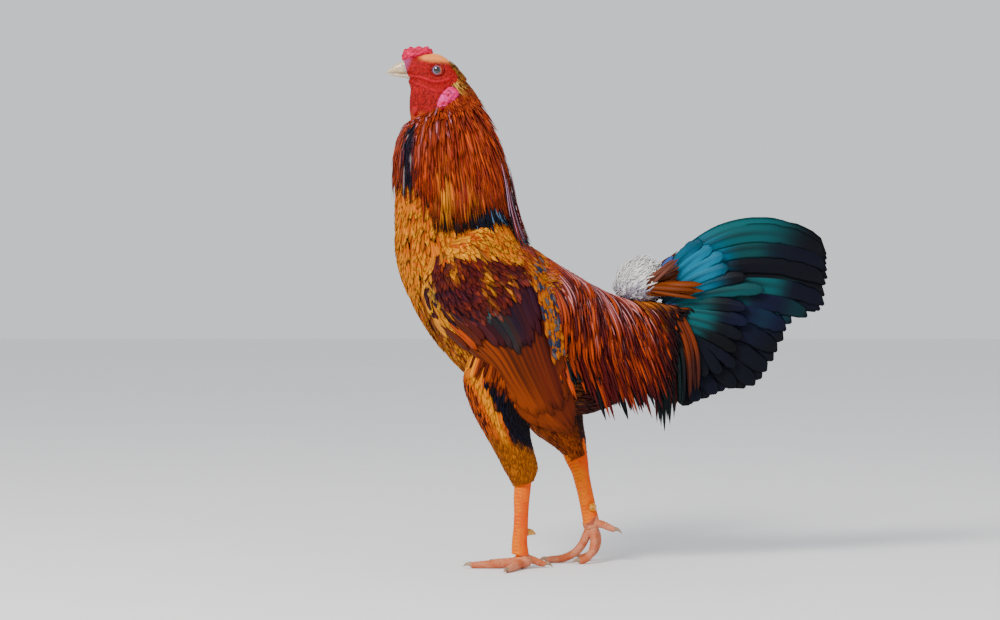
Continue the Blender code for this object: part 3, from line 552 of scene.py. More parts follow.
class Coat:
    """Feathers that are joined in one piece: their points, faces, maps and colours are kept until it is made."""

    def __init__(self, name, finish, slot_name, nodes=()):
        self.name, self.finish, self.slot_name, self.nodes = name, finish, slot_name, nodes
        self.count = 0
        self.points, self.faces, self.vane, self.bake = [], {}, [], []
        self.kept = {"base": [], "tips": [], "dark": [], "mark": [], "turn": []}

    def add(
        self, path, normal, half, root, base, tips, dark=CHOCOLATE, mark=0.4, turn=0.6, columns=3, cup=0.25, thick=0.3
    ):
        """Feathers along path (feather, station, xyz), facing normal, with half widths (feather, station).

        Across each station the outer side runs from edge to edge, sunk by cup times the half width times |x|^1.5, and
        the underside comes back under it, lower by thick times (1 - x^2) and less towards the tip. root is the place
        of each feather on the skin's map. base, tips and dark are the colours of the vane, its end and its shaft.
        mark is how far the shaft shows, and turn is the place along the feather where base gives way to tips.
        """
        number, stations = half.shape
        tangent = unit(np.gradient(path, axis=1))
        side = unit(np.cross(normal, tangent))
        up = np.cross(tangent, side)
        outer = np.linspace(-1, 1, columns)
        inner = outer[::-1][1:-1]
        x = np.concatenate([outer, inner])
        under = np.concatenate([np.zeros(columns), 1 - inner**2])
        s = np.linspace(0, 1, stations)
        sink = half[..., None] * cup * np.abs(x) ** 1.5 + thick * under * (1 - 0.7 * s)[None, :, None]
        points = path[:, :, None] + side[:, :, None] * (half[..., None] * x)[..., None]
        points = points - up[:, :, None] * sink[..., None]
        ring = len(x)
        start = self.count + (np.arange(number) * stations * ring)[:, None, None]
        row = (np.arange(stations - 1) * ring)[None, :, None]
        k = np.arange(ring)[None, None]
        n = (k + 1) % ring
        a = start + row
        quads = np.stack([a + k, a + ring + k, a + ring + n, a + n], -1).reshape(-1, 4)
        self.faces.setdefault(4, []).append(quads)
        first = (start[:, 0] + np.arange(ring)[None]).reshape(number, ring)
        self.faces.setdefault(ring, []).append(first)
        self.faces.setdefault(ring, []).append(first[:, ::-1] + (stations - 1) * ring)
        self.points.append(points.reshape(-1, 3))
        self.count += number * stations * ring
        shape = (number, stations, ring)
        vane_map = np.stack(np.broadcast_arrays((x * 0.5 + 0.5)[None, None], s[None, :, None], np.zeros(shape)), -1)
        self.vane.append(vane_map[..., :2].reshape(-1, 2))
        bake_map = np.asarray(root)[:, None, None] + (vane_map[..., :2] - 0.5) * VANE_PATCH
        self.bake.append(bake_map.reshape(-1, 2))
        for key, value in (("base", base), ("tips", tips), ("dark", dark), ("mark", mark), ("turn", turn)):
            value = np.asarray(value, float)
            if key in ("mark", "turn"):
                value = np.broadcast_to(value, (number,))[:, None, None]
            elif value.ndim < 3:
                value = np.broadcast_to(value, (number, 3))[:, None]
            value = np.broadcast_to(value, (number, stations, value.shape[-1]))
            self.kept[key].append(np.repeat(value.reshape(number * stations, -1), ring, 0))

    def make(self):
        """Makes the piece, and keeps some of its colours for the skin's markings."""
        attributes = {key: np.concatenate(rows) for key, rows in self.kept.items()}
        attributes["mark"] = attributes["mark"][:, 0]
        attributes["turn"] = attributes["turn"][:, 0]
        faces = [np.concatenate(groups) for groups in self.faces.values()]
        maps = {"vane": np.concatenate(self.vane), "OFBake": np.concatenate(self.bake)}
        points = np.concatenate(self.points)
        LAID.append((points[::LAID_STEP], attributes["base"][::LAID_STEP]))
        mesh_piece(self.name, points, faces, self.finish, self.slot_name, self.nodes, maps, attributes)


# The points and colours of the feathers that have been laid, from which the skin under them takes its markings: every
# sixth point is kept.
LAID, LAID_STEP = [], 6
# The size of a feather's patch on the skin's map, and of the cells in which the markings are summed.
VANE_PATCH, CELL = 0.003, 8


def markings(points):
    """The plumage's colour at points: the feathers' colours summed in cells, and spread to the cells beside them."""
    places = np.concatenate([places for places, _ in LAID])
    colours = np.concatenate([colours for _, colours in LAID])
    low = places.min(0) - 5 * CELL
    count = np.ceil((places.max(0) + 5 * CELL - low) / CELL).astype(int)
    total = np.zeros((*count, 4))
    cell = ((places - low) / CELL).astype(int)
    np.add.at(total, tuple(cell.T), np.concatenate([colours, np.ones((len(colours), 1))], 1))
    for _ in range(3):
        for axis in range(3):
            total = total + 0.3 * (np.roll(total, 1, axis) + np.roll(total, -1, axis))
    at = np.clip(((points - low) / CELL).astype(int), 0, count - 1)
    found = total[tuple(at.T)]
    return found[:, :3] / np.maximum(found[:, 3:], 1e-6)


def blend(factor, first, second):
    """Colours from first, where factor is 0, to second, where it is 1, for each feather."""
    factor = np.clip(np.asarray(factor, float), 0, 1)[..., None]
    return np.asarray(first) * (1 - factor) + np.asarray(second) * factor


def pick(mask, yes, no):
    """The colour yes for each feather where mask is true, and no elsewhere."""
    return np.where(mask[:, None], yes, no)


def slope(value, start, width):
    """0 before start, rising evenly to 1 over width, or falling towards lower values where width is negative."""
    return np.clip((value - start) / width, 0, 1)


def varied(draw, colours, spread):
    """Colours made lighter or darker feather by feather."""
    return np.clip(colours * np.exp(draw.normal(0, spread, len(colours)))[:, None], 0, 1)


def near(value, middle, width):
    """1 at middle, falling along a smooth bell to about a third at width away from it."""
    return np.exp(-(((value - middle) / width) ** 2))


def lance(s):
    """The width of a pointed feather along itself: widest before its middle."""
    return np.interp(s, (0, 0.1, 0.45, 0.8, 0.93, 1), (0.5, 0.85, 1.0, 0.8, 0.45, 0.05))


def spoon(s):
    """The width of a round-ended feather along itself."""
    return np.interp(s, (0, 0.15, 0.45, 0.75, 0.92, 1), (0.3, 0.6, 0.92, 1.0, 0.78, 0.25))


def rate(surface, a, b):
    """Millimetres for one unit of a, where the surface is at a, b."""
    return np.linalg.norm(surface(a + STEP, b) - surface(a - STEP, b), axis=-1) / (2 * STEP)


def strands(surface, root, around, tip, around_tip, stations, turn=1):
    """Runs over a surface from (root, around) to (tip, around_tip), straight in its two parameters.

    Gives their points, the surface's normals there, and the way along each run from 0 to 1.
    """
    s = np.linspace(0, 1, stations)
    a = root[:, None] + (tip - root)[:, None] * s
    b = around[:, None] + (around_tip - around)[:, None] * s
    points, normal = frame_on(surface, a, b, turn)
    return points, normal, s


def body_map(u, angle):
    """The place on the skin's map: its width is the angle round the body, its height the way along it."""
    return 0.02 + 0.96 * np.stack([(angle / TAU) % 1.0, np.clip(u, 0, 1)], -1)


def root_map(draw, number):
    """Places on the skin's map for feathers at the tail's root, drawn in one small patch of it."""
    return np.stack([0.5 + 0.4 * draw.random(number), 0.05 + 0.1 * draw.random(number)], 1)


def either_side(draw, low, high, number):
    """Angles between low and high, on the two sides in turn."""
    return draw.uniform(low, high, number) * np.where(np.arange(number) % 2, 1, -1)


def under_cape(coat, draw, number, angles, edge, ragged, long, sunk, rise, wide, colour):
    """Dark lances whose tips show under the cape's lowest feathers, where edge(angle) says, from sunk up by rise."""
    angle = either_side(draw, *angles, number)
    tip = edge(angle) + draw.normal(0, ragged, number)
    root = tip + long
    points, normal, s = strands(plumage, root, angle, tip, angle + draw.normal(0, 0.04, number), 7)
    lift = sunk + rise * s
    half = draw.uniform(*wide, number)[:, None] * lance(s)
    base = colour(draw.random(number))
    coat.add(points + normal * lift[..., None], normal, half, body_map(root, angle), base, base, JET, 0.3, 0.8)


# How many lances the cape has, darker ones under it behind, dark ones that paint shadow at its sides, and long
# strands.
CAPE_LANCES, UNDER_BACK, CAPE_SHADOW_LANCES, LONG_STRANDS = 2300, 260, 220, 90


def hackle(finish):
    """The cape: lances down the neck, each over the last, short and fine behind the face and long at the cape's edge.

    Darker lances show under its edge, and at its sides paint its shadow; a few long strands run on down the back.
    """
    draw = np.random.default_rng(21)
    coat = Coat("hackle_feathers", finish, "hackle_plumage", ["neck"])
    number = CAPE_LANCES
    angle = draw.uniform(-np.pi, np.pi, number)
    share = np.where(draw.random(number) < 0.35, draw.uniform(0.88, 1.0, number), draw.random(number) ** 0.85)
    edge = cape_edge(angle)
    ragged = np.where(np.abs(angle) > 2.0, 3.0, 1.0)
    tip = CAPE_TOP - (CAPE_TOP - edge) * share + draw.normal(0, 0.006, number) * ragged
    root = np.minimum(tip + 0.045 + 0.17 * share, 1.0)
    points, normal, s = strands(plumage, root, angle, tip, angle + draw.normal(0, 0.05, number), 9)
    depth = 1.5 + 4.5 * slope(root, 1, -0.08)
    flick = draw.gamma(1.5, 0.35, number)
    lift = -depth[:, None] + (depth + 1.2)[:, None] * s**0.75 + flick[:, None] * s**4
    half = (1.4 + 1.5 * share * draw.uniform(0.75, 1.2, number))[:, None] * lance(s)
    folded = np.abs(angle)
    x, z = points[:, 4, 0], points[:, 4, 2]
    warm = draw.random(number)
    base = blend(warm * 0.8, MAHOGANY, COPPER)
    base = blend(0.9 * near(x, -191, 8) * near(z, 450, 22) * (warm > 0.35), base, GOLD)
    base = blend(0.7 * near(x, -161, 9) * near(z, 446, 20) * (warm > 0.5), base, GOLD * 0.8)
    base = blend(0.25 * near(x, -172, 34) * near(z, 425, 22) * (warm > 0.5), base, GOLD * 0.7)
    # A few lilac feathers high on the cape's front paint a highlight.
    base = blend(0.5 * near(z, 522, 16) * (warm > 0.82) * (folded > 1.3), base, LILAC)
    # A navy-black strip down the cape's front; the pale ash feathers in it paint its glints.
    strip = near(folded, 2.40, 0.16) * (z > 440) * (z < 512)
    base = blend(strip * 1.6 * (warm > 0.12), base, pick(warm > 0.9, ASH, NAVY))
    low = slope(share, 0.86, 0.12) * (folded < 1.9)
    tips = blend(0.35 + 0.4 * low, base, CHOCOLATE)
    base = varied(draw, base, 0.22)
    coat.add(points + normal * lift[..., None], normal, half, body_map(root, angle), base, tips, CHOCOLATE,
             draw.uniform(0.35, 0.95, number), draw.uniform(0.75, 0.98, number), 3, 0.35, 0.25)
    # Dark and a few pale blue feathers at the back of the cape, and a thin dark line of painted shadow at its sides.
    under_cape(
        coat, draw, UNDER_BACK, (0.15, 1.25), lambda angle: cape_edge(angle) - 0.028, 0.01, 0.15, -5.5, 7.0,
        (1.6, 3.0), lambda warm: pick(warm < 0.09, linear(100, 128, 156), blend(warm**3, JET, NAVY * 1.5)),
    )
    under_cape(
        coat, draw, CAPE_SHADOW_LANCES, (1.2, 2.1), lambda angle: cape_edge(angle) - 0.010 + 0.016 * (np.abs(angle) > 1.55),
        0.004, 0.12, -5.0, 6.2, (1.5, 2.4), lambda warm: blend(warm, JET, CHOCOLATE),
    )
    # Long thin strands that run on down the back.
    number = LONG_STRANDS
    angle = either_side(draw, 0.0, 0.5, number)
    tip = 0.435 + draw.uniform(0, 0.09, number)
    root = tip + draw.uniform(0.17, 0.24, number)
    points, normal, s = strands(plumage, root, angle, tip, angle * 1.2, 12)
    lift = 1.2 + 2.0 * np.sin(np.pi * s) + draw.uniform(0, 1.5, number)[:, None]
    half = draw.uniform(0.8, 1.3, number)[:, None] * lance(s)
    warm = draw.random(number)
    base = pick(warm < 0.5, JET, pick(warm < 0.7, MAHOGANY, LILAC * 0.8))
    coat.add(points + normal * lift[..., None], normal, half, body_map(root, angle), base, base, JET, 0.6, 0.8)
    coat.make()


# The plumage behind the bare face, as an oval surface like the body's.
NAPE = [
    (-146.5, 532, -236, 498, 27),
    (-155.5, 548, -230, 512, 22),
    (-166.5, 561.5, -230, 526, 19),
    (-175, 576, -229, 539, 17),
    (-187, 586, -229, 551, 15.5),
    (-196, 590, -232, 561, 13.5),
]
# The two surfaces of the nape: on each how many feathers are tried, the range of their places up it, and how far they
# lean down. Those that would grow on the face are left out.
NAPE_PARTS = ((NAPE, 3000, (0.0, 0.9), 0.0), (HEAD, 1100, (0.10, 0.5), 0.45))
# The face's rear edge: x at each height.
FACE_EDGE_Z = (520, 528, 536, 545, 553, 556, 562, 569, 578, 584, 590)
FACE_EDGE_X = (-200, -191, -182, -174, -173, -181, -178, -177, -180, -185, -190)


def nape(finish):
    """Short feathers behind the face that pass into the cape, olive and cream at the top, with a pale ear tuft."""
    draw = np.random.default_rng(28)
    coat = Coat("nape_feathers", finish, "hackle_plumage")
    for rows, number, places, lean in NAPE_PARTS:

        def behind(u, angle):
            return section(rows, u, angle)

        u = draw.uniform(*places, number)
        angle = draw.uniform(-2.3, 2.3, number)
        root = behind(u, angle)
        keep = root[:, 0] > np.interp(root[:, 2], FACE_EDGE_Z, FACE_EDGE_X)
        u, angle, root = u[keep], angle[keep], root[keep]
        number = len(u)
        share = slope(root[:, 2], 585, -60)
        tip = np.maximum(u - (8 + 15 * share) * draw.uniform(0.8, 1.2, number) / rate(behind, u, angle), 0.0)
        around_tip = angle + np.sign(angle) * lean + draw.normal(0, 0.06, number)
        points, normal, s = strands(behind, u, angle, tip, around_tip, 6)
        lift = -0.9 + 1.9 * s[None] ** 0.7 + draw.gamma(1.5, 0.15, number)[:, None] * s**2
        half = (0.8 + 0.8 * share)[:, None] * lance(s)
        warm = draw.random(number)
        top = blend(warm, linear(70, 44, 24), linear(168, 126, 80))
        base = blend(share * 1.8 - 0.1, top, blend(warm, MAHOGANY, COPPER))
        ear = near(root[:, 0], -179, 5) * near(root[:, 2], 561, 5)
        base = blend(ear * 1.5 * (warm > 0.2), base, linear(240, 196, 130))
        coat.add(points + normal * lift[..., None], normal, half, body_map(np.full(number, 0.97), angle),
                 varied(draw, base, 0.2), blend(0.3, base, CHOCOLATE), CHOCOLATE, draw.uniform(0.2, 0.7, number), 0.85,
                 3, 0.3, 0.2)
    coat.make()


def body_colours(draw, points, folded, u):
    """The zones of the body: gold breast with dark specks, dark belly, speckled flank, coppery back."""
    x, z = points[:, 0], points[:, 2]
    number = len(x)
    warm = draw.random(number)
    base = blend(warm, RUST, TAN)
    tips = blend(0.15 + 0.5 * draw.random(number), base, STRAW)
    side = slope(x, -222, 12) * slope(z, 330, -30)
    base = blend(side * 0.5, base, UMBER)
    shade = near(x, -200, 18) * near(z, 286, 36)
    base = blend(0.8 * shade, base, UMBER)
    tips = blend(0.5 * shade, tips, UMBER)
    collar = slope(z, 412, 22) * slope(folded, 1.6, 0.3)
    base = blend(collar * 0.85, base, blend(warm, UMBER, COPPER))
    tips = blend(collar, tips, pick(warm < 0.5, CHOCOLATE, blend(warm, MAHOGANY, GOLD)))
    low = slope(z, 215, -40) * slope(x, -190, 60)
    base = blend(low * 0.85, base, UMBER)
    tips = blend(low, tips, blend(warm, UMBER, JET))
    flank = slope(x, -108, 12) * slope(x, -28, -14) * slope(folded, 0.35, 0.3)
    speck = draw.random(number)
    speckled = pick(speck < 0.25, NAVY * 1.5, pick(speck < 0.4, ASH * 0.5, BAY))
    base = blend(flank * 0.8, base, speckled)
    tips = blend(flank * 0.7, tips, pick(speck < 0.62, TAN, CHOCOLATE))
    # The back: mahogany with mauve that paints its sheen, and copper tips.
    back = slope(folded, 0.75, -0.3) * (u < 0.55)
    base = blend(back, base, blend(warm, MAHOGANY, MAUVE))
    tips = blend(back, tips, COPPER)
    rear = slope(u, RUMP_AT, -0.05)
    base = blend(rear, base, blend(warm, UMBER, JET))
    tips = blend(rear, tips, blend(warm, JET, UMBER))
    return base, tips


# How many feathers are laid on one half of the body, and on one drumstick.
BREAST_FEATHERS, THIGH_FEATHERS = 4000, 2600


def body_coat(name, side, finish):
    """Small soft feathers on one half of the breast, belly, flank and back, laid towards the tail."""
    draw = np.random.default_rng(22)
    coat = Coat(f"breast_{name}_feathers", finish, "breast_plumage", ["torso"])
    number = BREAST_FEATHERS
    u = draw.uniform(0.02, 0.83, number * 2)
    angle = -side * draw.uniform(0, np.pi, number * 2)
    keep = (u < cape_edge(angle) + 0.09) & ((u > RUMP_AT) | (np.abs(angle) > 0.9))
    u, angle = u[keep][:number], angle[keep][:number]
    number = len(u)
    folded = np.abs(angle)
    long = np.where(folded < 0.5, 26, 23) * draw.uniform(0.8, 1.25, number)
    tip = u - long / rate(plumage, u, angle)
    points, normal, s = strands(plumage, u, angle, tip, angle + draw.normal(0, 0.03, number), 6)
    under = 2.0 * slope(u - cape_edge(angle), -0.02, 0.04)
    lift = -2.4 + 2.5 * s**0.8 + draw.gamma(1.5, 0.12, number)[:, None] * s**3 - under[:, None]
    wide = np.where(folded < 0.5, 3.2, 3.6) * draw.uniform(0.75, 1.15, number)
    half = wide[:, None] * (0.5 * spoon(s) + 0.5 * lance(s))
    base, tips = body_colours(draw, points[:, 3], folded, u)
    dotted = draw.random(number) < 0.13
    tips = pick(dotted, blend(0.7, tips, CHOCOLATE), tips)
    coat.add(points + normal * lift[..., None], normal, half, body_map(u, angle), varied(draw, base, 0.12),
             varied(draw, tips, 0.1), CHOCOLATE, draw.uniform(0.0, 0.3, number), draw.uniform(0.75, 0.92, number))
    coat.make()


# Gold drops on the wing's bow: x, z.
DROPS = ((-180, 343), (-143, 341), (-116, 328), (-140, 318), (-118, 281))


def wing_colours(draw, v, points):
    """The bow: gold over the shoulder and down its front edge, maroon with a few gold drops, and a dark lower bar."""
    x, z = points[:, 0], points[:, 2]
    number = len(x)
    warm = draw.random(number)
    base = blend(warm, MAROON, PLUM)
    streak = 0.5 + 0.5 * np.sin(x * 0.55 + 2.0 * np.sin(x * 0.21)) * np.sin(0.09 * z + 0.12 * x)
    base = blend(streak * 0.45, base, blend(warm, JET, CHOCOLATE))
    base = blend(slope(z, 322, -40) * 0.75, base, blend(warm, JET, PLUM * 0.7))
    shoulder = slope(z - 352 - 0.12 * (x + 180) - 10 * (warm - 0.5), 0, 8)
    shoulder = np.maximum(shoulder, slope(v, 0.83, 0.06) * (warm > 0.25))
    base = blend(shoulder, base, pick(warm < 0.3, RUST, blend(warm, TAN, GOLD)))
    sheen = near(x, -97 - 0.25 * (318 - z), 12) * near(z, 300, 44)
    base = blend(sheen * 0.65, base, blend(warm, linear(76, 44, 70), MAUVE * 0.6))
    bar = near(x, -164, 22) * near(z, 286, 9) + near(x, -112, 14) * near(z, 262, 13)
    bar = bar + near(x, -180, 30) * near(z, 318, 8) * 0.5
    base = blend(np.clip(bar, 0, 1) * 0.9, base, NAVY)
    base = blend(near(v, 0.90, 0.05) * near(z, 316, 16), base, NAVY)
    teal = near(x, -133, 10) * near(z, 288, 8)
    base = blend(np.clip(teal * 1.4, 0, 1), base, TEAL * 0.5)
    drops = sum(near(x, place, 3.6) * near(z, height, 7) for place, height in DROPS)
    base = blend(np.clip(drops * 1.2, 0, 1), base, GOLD * 0.8)
    tips = blend(0.5 * shoulder * warm, base, STRAW)
    tips = blend((1 - shoulder) * 0.3 * warm, tips, COPPER)
    return base, tips


# How many feathers each part of a wing has: the secondaries in two sheets, and the small coverts in rows.
PRIMARIES, SECONDARIES, GREATER_COVERTS = 9, (11, 14), 17
COVERT_ROWS, COVERTS_A_ROW, EDGE_FEATHERS = 17, 30, 220


def wing(name, side, finish):
    """A folded wing: primaries under two sheets of secondaries, greater and small coverts, and a speckled edge."""
    draw = np.random.default_rng(23)
    coat = Coat(f"wing_{name}_feathers", finish, "wing_plumage", [f"wing_{name}"])
    surface = wing_side(side)

    def lay(t0, v0, t1, v1, half, rise, base, tips, mark=0.4, turn=0.8, stations=8, columns=5, cup=0.2, shape=spoon):
        """Feathers from (t0, v0) to (t1, v1) on the wing, lifted off it by rise(s)."""
        points, normal, s = strands(surface, t0, v0, t1, v1, stations, side)
        place = 0.05 + 0.9 * np.clip(np.stack([v0, t0], -1), 0, 1)
        coat.add(points + normal * rise(s)[..., None], normal, half[:, None] * shape(s), place, base, tips,
                 CHOCOLATE, mark, turn, columns, cup, 0.35)

    # Primaries, nearly hidden.
    count = PRIMARIES
    k = np.arange(count)
    v = 0.08 + 0.84 * k / (count - 1)
    ones = np.ones(count)
    dull = blend(slope(v, 0.2, 0.15), JET, blend(0.4, UMBER, BAY))
    lay(0.42 * ones, v, 0.93 + 0.07 * np.sin(np.pi * (k + 1) / (count + 0.5)), v, 6.5 * ones,
        lambda s: (-7 + 1.5 * s)[None] + 0.35 * k[:, None], dull, dull, stations=14)
    # Secondaries, in two sheets that overlap from the upper edge to the lower.
    for sheet, count in enumerate(SECONDARIES):
        k = np.arange(count) / (count - 1)
        v = 0.01 + 0.96 * k
        end = np.interp(k, (0, 0.3, 0.6, 0.85, 1), (0.93, 0.985, 0.97, 0.93, 0.88)) - 0.10 * sheet
        end = end + draw.normal(0, 0.012, count)
        warm = np.interp(k, (0, 0.2, 0.45, 0.7, 1), (0.35, 0.1, 0.45, 0.8, 1.0)) + draw.normal(0, 0.16, count)
        base = blend(warm, UMBER, BAY * (0.62 + 0.12 * sheet))
        lay(np.full(count, 0.40), v, end, v - 0.02, np.full(count, 8.0 - sheet),
            lambda s: (-5.0 + 2.2 * sheet + (3.2 - sheet) * s**0.7)[None] + 2.5 * k[:, None], varied(draw, base, 0.16),
            base, 0.7, 0.85, 16, 9)
    # Greater coverts.
    count = GREATER_COVERTS
    k = np.arange(count)
    v = 0.02 + 0.96 * k / (count - 1)
    t0 = 0.30 + 0.05 * np.sin(np.pi * v) + draw.normal(0, 0.008, count)
    base, tips = wing_colours(draw, v, surface(t0 + 0.12, v))
    base = blend(0.85, base, blend(draw.random(count), NAVY * 0.8, PLUM * 0.5))
    base = blend(near(v, 0.93, 0.12), base, blend(draw.random(count), UMBER, COPPER))
    base = blend(0.6 * near(v, 0.55, 0.06), base, TEAL * 0.22)
    reach = np.interp(v, (0.0, 0.3, 0.55, 0.78), (0.22, 0.28, 0.27, 0.17))
    lay(t0, v, t0 + reach + draw.normal(0, 0.015, count), v - 0.01, np.full(count, 6.0),
        lambda s: (-3.8 + 3.6 * s**0.7)[None] + 0.16 * k[:, None], varied(draw, base, 0.15),
        blend(0.3, base, UMBER), 0.35, stations=9)
    # Small coverts in rows, the lowest row first.
    rows, each = COVERT_ROWS, COVERTS_A_ROW
    row, k = np.meshgrid(np.arange(rows), np.arange(each), indexing="ij")
    row, k = row.ravel()[::-1], k.ravel()[::-1]
    number = rows * each
    v = (k + 0.5 * (row % 2) + 0.25) / (each + 0.2) + draw.normal(0, 0.010, number)
    t0 = -0.03 + 0.335 * row / (rows - 1) + 0.04 * np.sin(np.pi * v) + draw.normal(0, 0.008, number)
    t1 = t0 + draw.uniform(0.085, 0.14, number)
    base, tips = wing_colours(draw, v, surface(t0 + 0.07, v))
    wide = np.interp(row, (0, rows - 1), (3.2, 3.9)) * draw.uniform(0.7, 1.15, number)
    low = np.interp(row, (0, rows - 1), (-3.0, -3.6))
    out = draw.gamma(1.5, 0.15, number)
    lay(t0, v, t1, v + draw.normal(0, 0.014, number), wide,
        lambda s: low[:, None] + 3.6 * s**0.6 + 0.6 * out[:, None] * s**3, varied(draw, base, 0.2),
        varied(draw, tips, 0.2), draw.uniform(0, 0.5, number), draw.uniform(0.75, 0.92, number), 7, 5, 0.12,
        lambda s: 0.5 * (spoon(s) + lance(s)))
    # Speckled feathers down the wing's upper edge.
    number = EDGE_FEATHERS
    t0 = draw.uniform(0.33, 0.68, number)
    v = draw.uniform(-0.10, 0.09, number)
    warm = draw.random(number)
    base = blend(warm, UMBER, BAY)
    spots = pick(warm < 0.4, ASH * 0.35, blend(warm, BAY, TAN * 0.75))
    spots = pick(warm < 0.22, linear(40, 46, 66), spots)
    lay(t0, v, t0 + draw.uniform(0.05, 0.08, number), v + draw.normal(0, 0.02, number), draw.uniform(2.0, 3.4, number),
        lambda s: (0.6 + 1.4 * s)[None] + draw.uniform(0, 0.8, number)[:, None], base, spots, 0.2, 0.6, 6)
    coat.make()


# The saddle's tiers on each side from the lowest up: how many lances, the angles of their roots from the spine, their
# lengths and their half width.
SADDLE_TIERS = (
    (90, (0.85, 1.5), (60, 100), 4.2),
    (330, (0.35, 1.35), (56, 112), 2.9),
    (420, (0.0, 1.0), (50, 112), 2.5),
)
# The saddle's colour changes in streaks that run with its feathers: how many in all, and in each span of the body.
STREAKS, STREAKS_A_SPAN = 90, 12
# How many sickle coverts arch over the tail's root on each side.
SICKLES = 26


def saddle(finish):
    """The saddle hackles: long lances that sweep back from the spine and then hang, over dark wider feathers.

    Dark sickle coverts arch over the tail's root behind them.
    """
    draw = np.random.default_rng(24)
    coat = Coat("saddle_feathers", finish, "saddle_plumage", ["saddle"])
    columns = draw.random(STREAKS)
    for side in (1, -1):
        for tier, (number, start, reach, wide) in enumerate(SADDLE_TIERS):
            spans = draw.uniform(0.25, 4.6, number)
            angle = draw.uniform(*start, number)
            length = draw.uniform(*reach, number) * np.interp(spans, (-0.3, 1.5, 3.2, 4.6), (1.15, 1.15, 1.0, 0.55))
            place = spans / BODY_SPANS
            spread = np.linalg.norm(section(BODY, place, angle) - section(BODY, place, angle + 0.05), axis=-1) / 0.05
            tip = np.minimum(angle + length / spread, DRAPE_ANGLE + draw.uniform(48, 86, number) / spread)
            back = draw.uniform(0.055, 0.095, number) * np.clip((1.5 - angle) / 1.2, 0.1, 1)
            s = np.linspace(0, 1, 12)
            a = place[:, None] - back[:, None] * (1 - (1 - s) ** 2.2)
            b = angle[:, None] + (tip - angle)[:, None] * s**1.15
            points, normal = frame_on(drape, a, b)
            top = tier * 1.7
            lift = (-3.8 + top * 0.8) + (3.4 + 0.5 * top) * s**0.8 + draw.gamma(1.6, 0.7, number)[:, None] * s**2
            points = points + normal * lift[..., None]
            half = (wide * draw.uniform(0.7, 1.2, number))[:, None] * lance(s)
            column = ((place - back) * BODY_SPANS + 1.5) * STREAKS_A_SPAN + draw.normal(0, 0.3, number)
            warm = 0.35 * draw.random(number) + 0.65 * columns[np.clip(column.astype(int), 0, STREAKS - 1)]
            rear = slope(spans, 1.9, -1.6)
            if tier == 0:
                base = blend(warm**2, JET, blend(warm, WINE, SPRUCE))
                tips = blend(0.8, base, JET)
            else:
                base = blend(warm, MAHOGANY, FLAME)
                dark = warm < np.where(tier == 1, 0.5, 0.38) + 0.55 * rear
                base = pick(dark, blend(draw.random(number) * (0.35 + 0.65 * rear), WINE, JET), base)
                high = slope(angle, 0.8, -0.4)
                front = slope(spans, 1.8, 1.2)
                base = blend(high * (0.4 + 0.5 * front), base, pick(warm < 0.5, WINE, MAUVE * 0.8))
                gold = near(spans, 1.2, 0.7) * near(angle, 0.3, 0.4)
                base = blend(gold * 0.8, base, TAN)
                ends = blend(0.2 + draw.random(number) * 0.7, FLAME, WINE)
                tips = pick(dark, blend(rear * 0.7 + 0.3, WINE, JET), ends)
            mirror = np.array([1.0, side, 1.0])
            pale = (draw.random(number) < 0.5) & (angle < 0.75) & (spans > 1.6)
            shaft = pick(pale, linear(214, 166, 170), CHOCOLATE * 0.6)
            coat.add(points * mirror, normal * mirror, half, body_map(place, angle * side), varied(draw, base, 0.2),
                     varied(draw, tips, 0.15), shaft, np.where(pale, 0.9, 0.4), draw.uniform(0.4, 0.7, number), 3,
                     0.3, 0.25)
    # Dark sickle coverts that arch over the tail's root, with brown ones behind them.
    for side in (1, -1):
        number = SICKLES
        k = np.linspace(0, 1, number) + draw.normal(0, 0.03, number)
        s = np.linspace(0, 1, 14)
        root = np.stack([48 + 28 * k, 304 - 2 * k], 1)
        tip = np.stack([58 + 43 * k, 166 + 40 * k + draw.normal(0, 6, number)], 1)
        way = tip - root
        over = unit(np.stack([-way[:, 1], way[:, 0]], 1))
        bow = (2 + 8 * k)[:, None] * np.sin(np.pi * s)
        flat = root[:, None] + way[:, None] * s[:, None] + over[:, None] * bow[..., None]
        out = 10 + (16 + 3 * draw.random(number))[:, None] * (1 - (1 - s) ** 2) + 0.5 * draw.random(number)[:, None]
        points = np.stack([flat[..., 0], -side * out, flat[..., 1]], -1)
        normal = np.broadcast_to([0.15, -float(side), 0.1], points.shape)
        half = draw.uniform(2.4, 3.8, number)[:, None] * lance(s)
        warm = draw.random(number)
        base = pick(k > 0.72, blend(warm, UMBER, BAY * 0.8), blend(warm, JET, SPRUCE * 0.6))
        base = pick((k < 0.5) & (warm > 0.7), MAHOGANY, base)
        coat.add(points, normal, half, body_map(0.03 * k, 1.2 * side * np.ones(number)), base, blend(0.7, base, JET),
                 CHOCOLATE * 0.6, 0.4, 0.6, 5, 0.3, 0.25)
    coat.make()


# The tail's outline, x and z, from its top round to its lowest feather, and how far the feathers there are bowed.
TAIL_ENDS = [
    (251, 360), (252, 348), (251, 333), (248, 314), (243, 296), (211, 282), (199, 261), (188, 238), (176, 215),
    (156, 207), (134, 202), (113, 196), (96, 188),
]
TAIL_BOW = (49, 42, 35, 27, 19, 15, 12, 9, 6, 4, 1, -2, -5)
# How many feathers the fan has on each side, and how many coverts lie at its root.
FAN, TAIL_COVERTS = 25, 13


def patch(x, z, middle, radii, tilt=0.0):
    """1 inside an oval whose long axis rises by tilt, falling smoothly to 0 beyond its edge."""
    along, up = x - middle[0], z - middle[1]
    return np.exp(-(((along / radii[0]) ** 2 + ((up - along * tilt) / radii[1]) ** 2) ** 2))


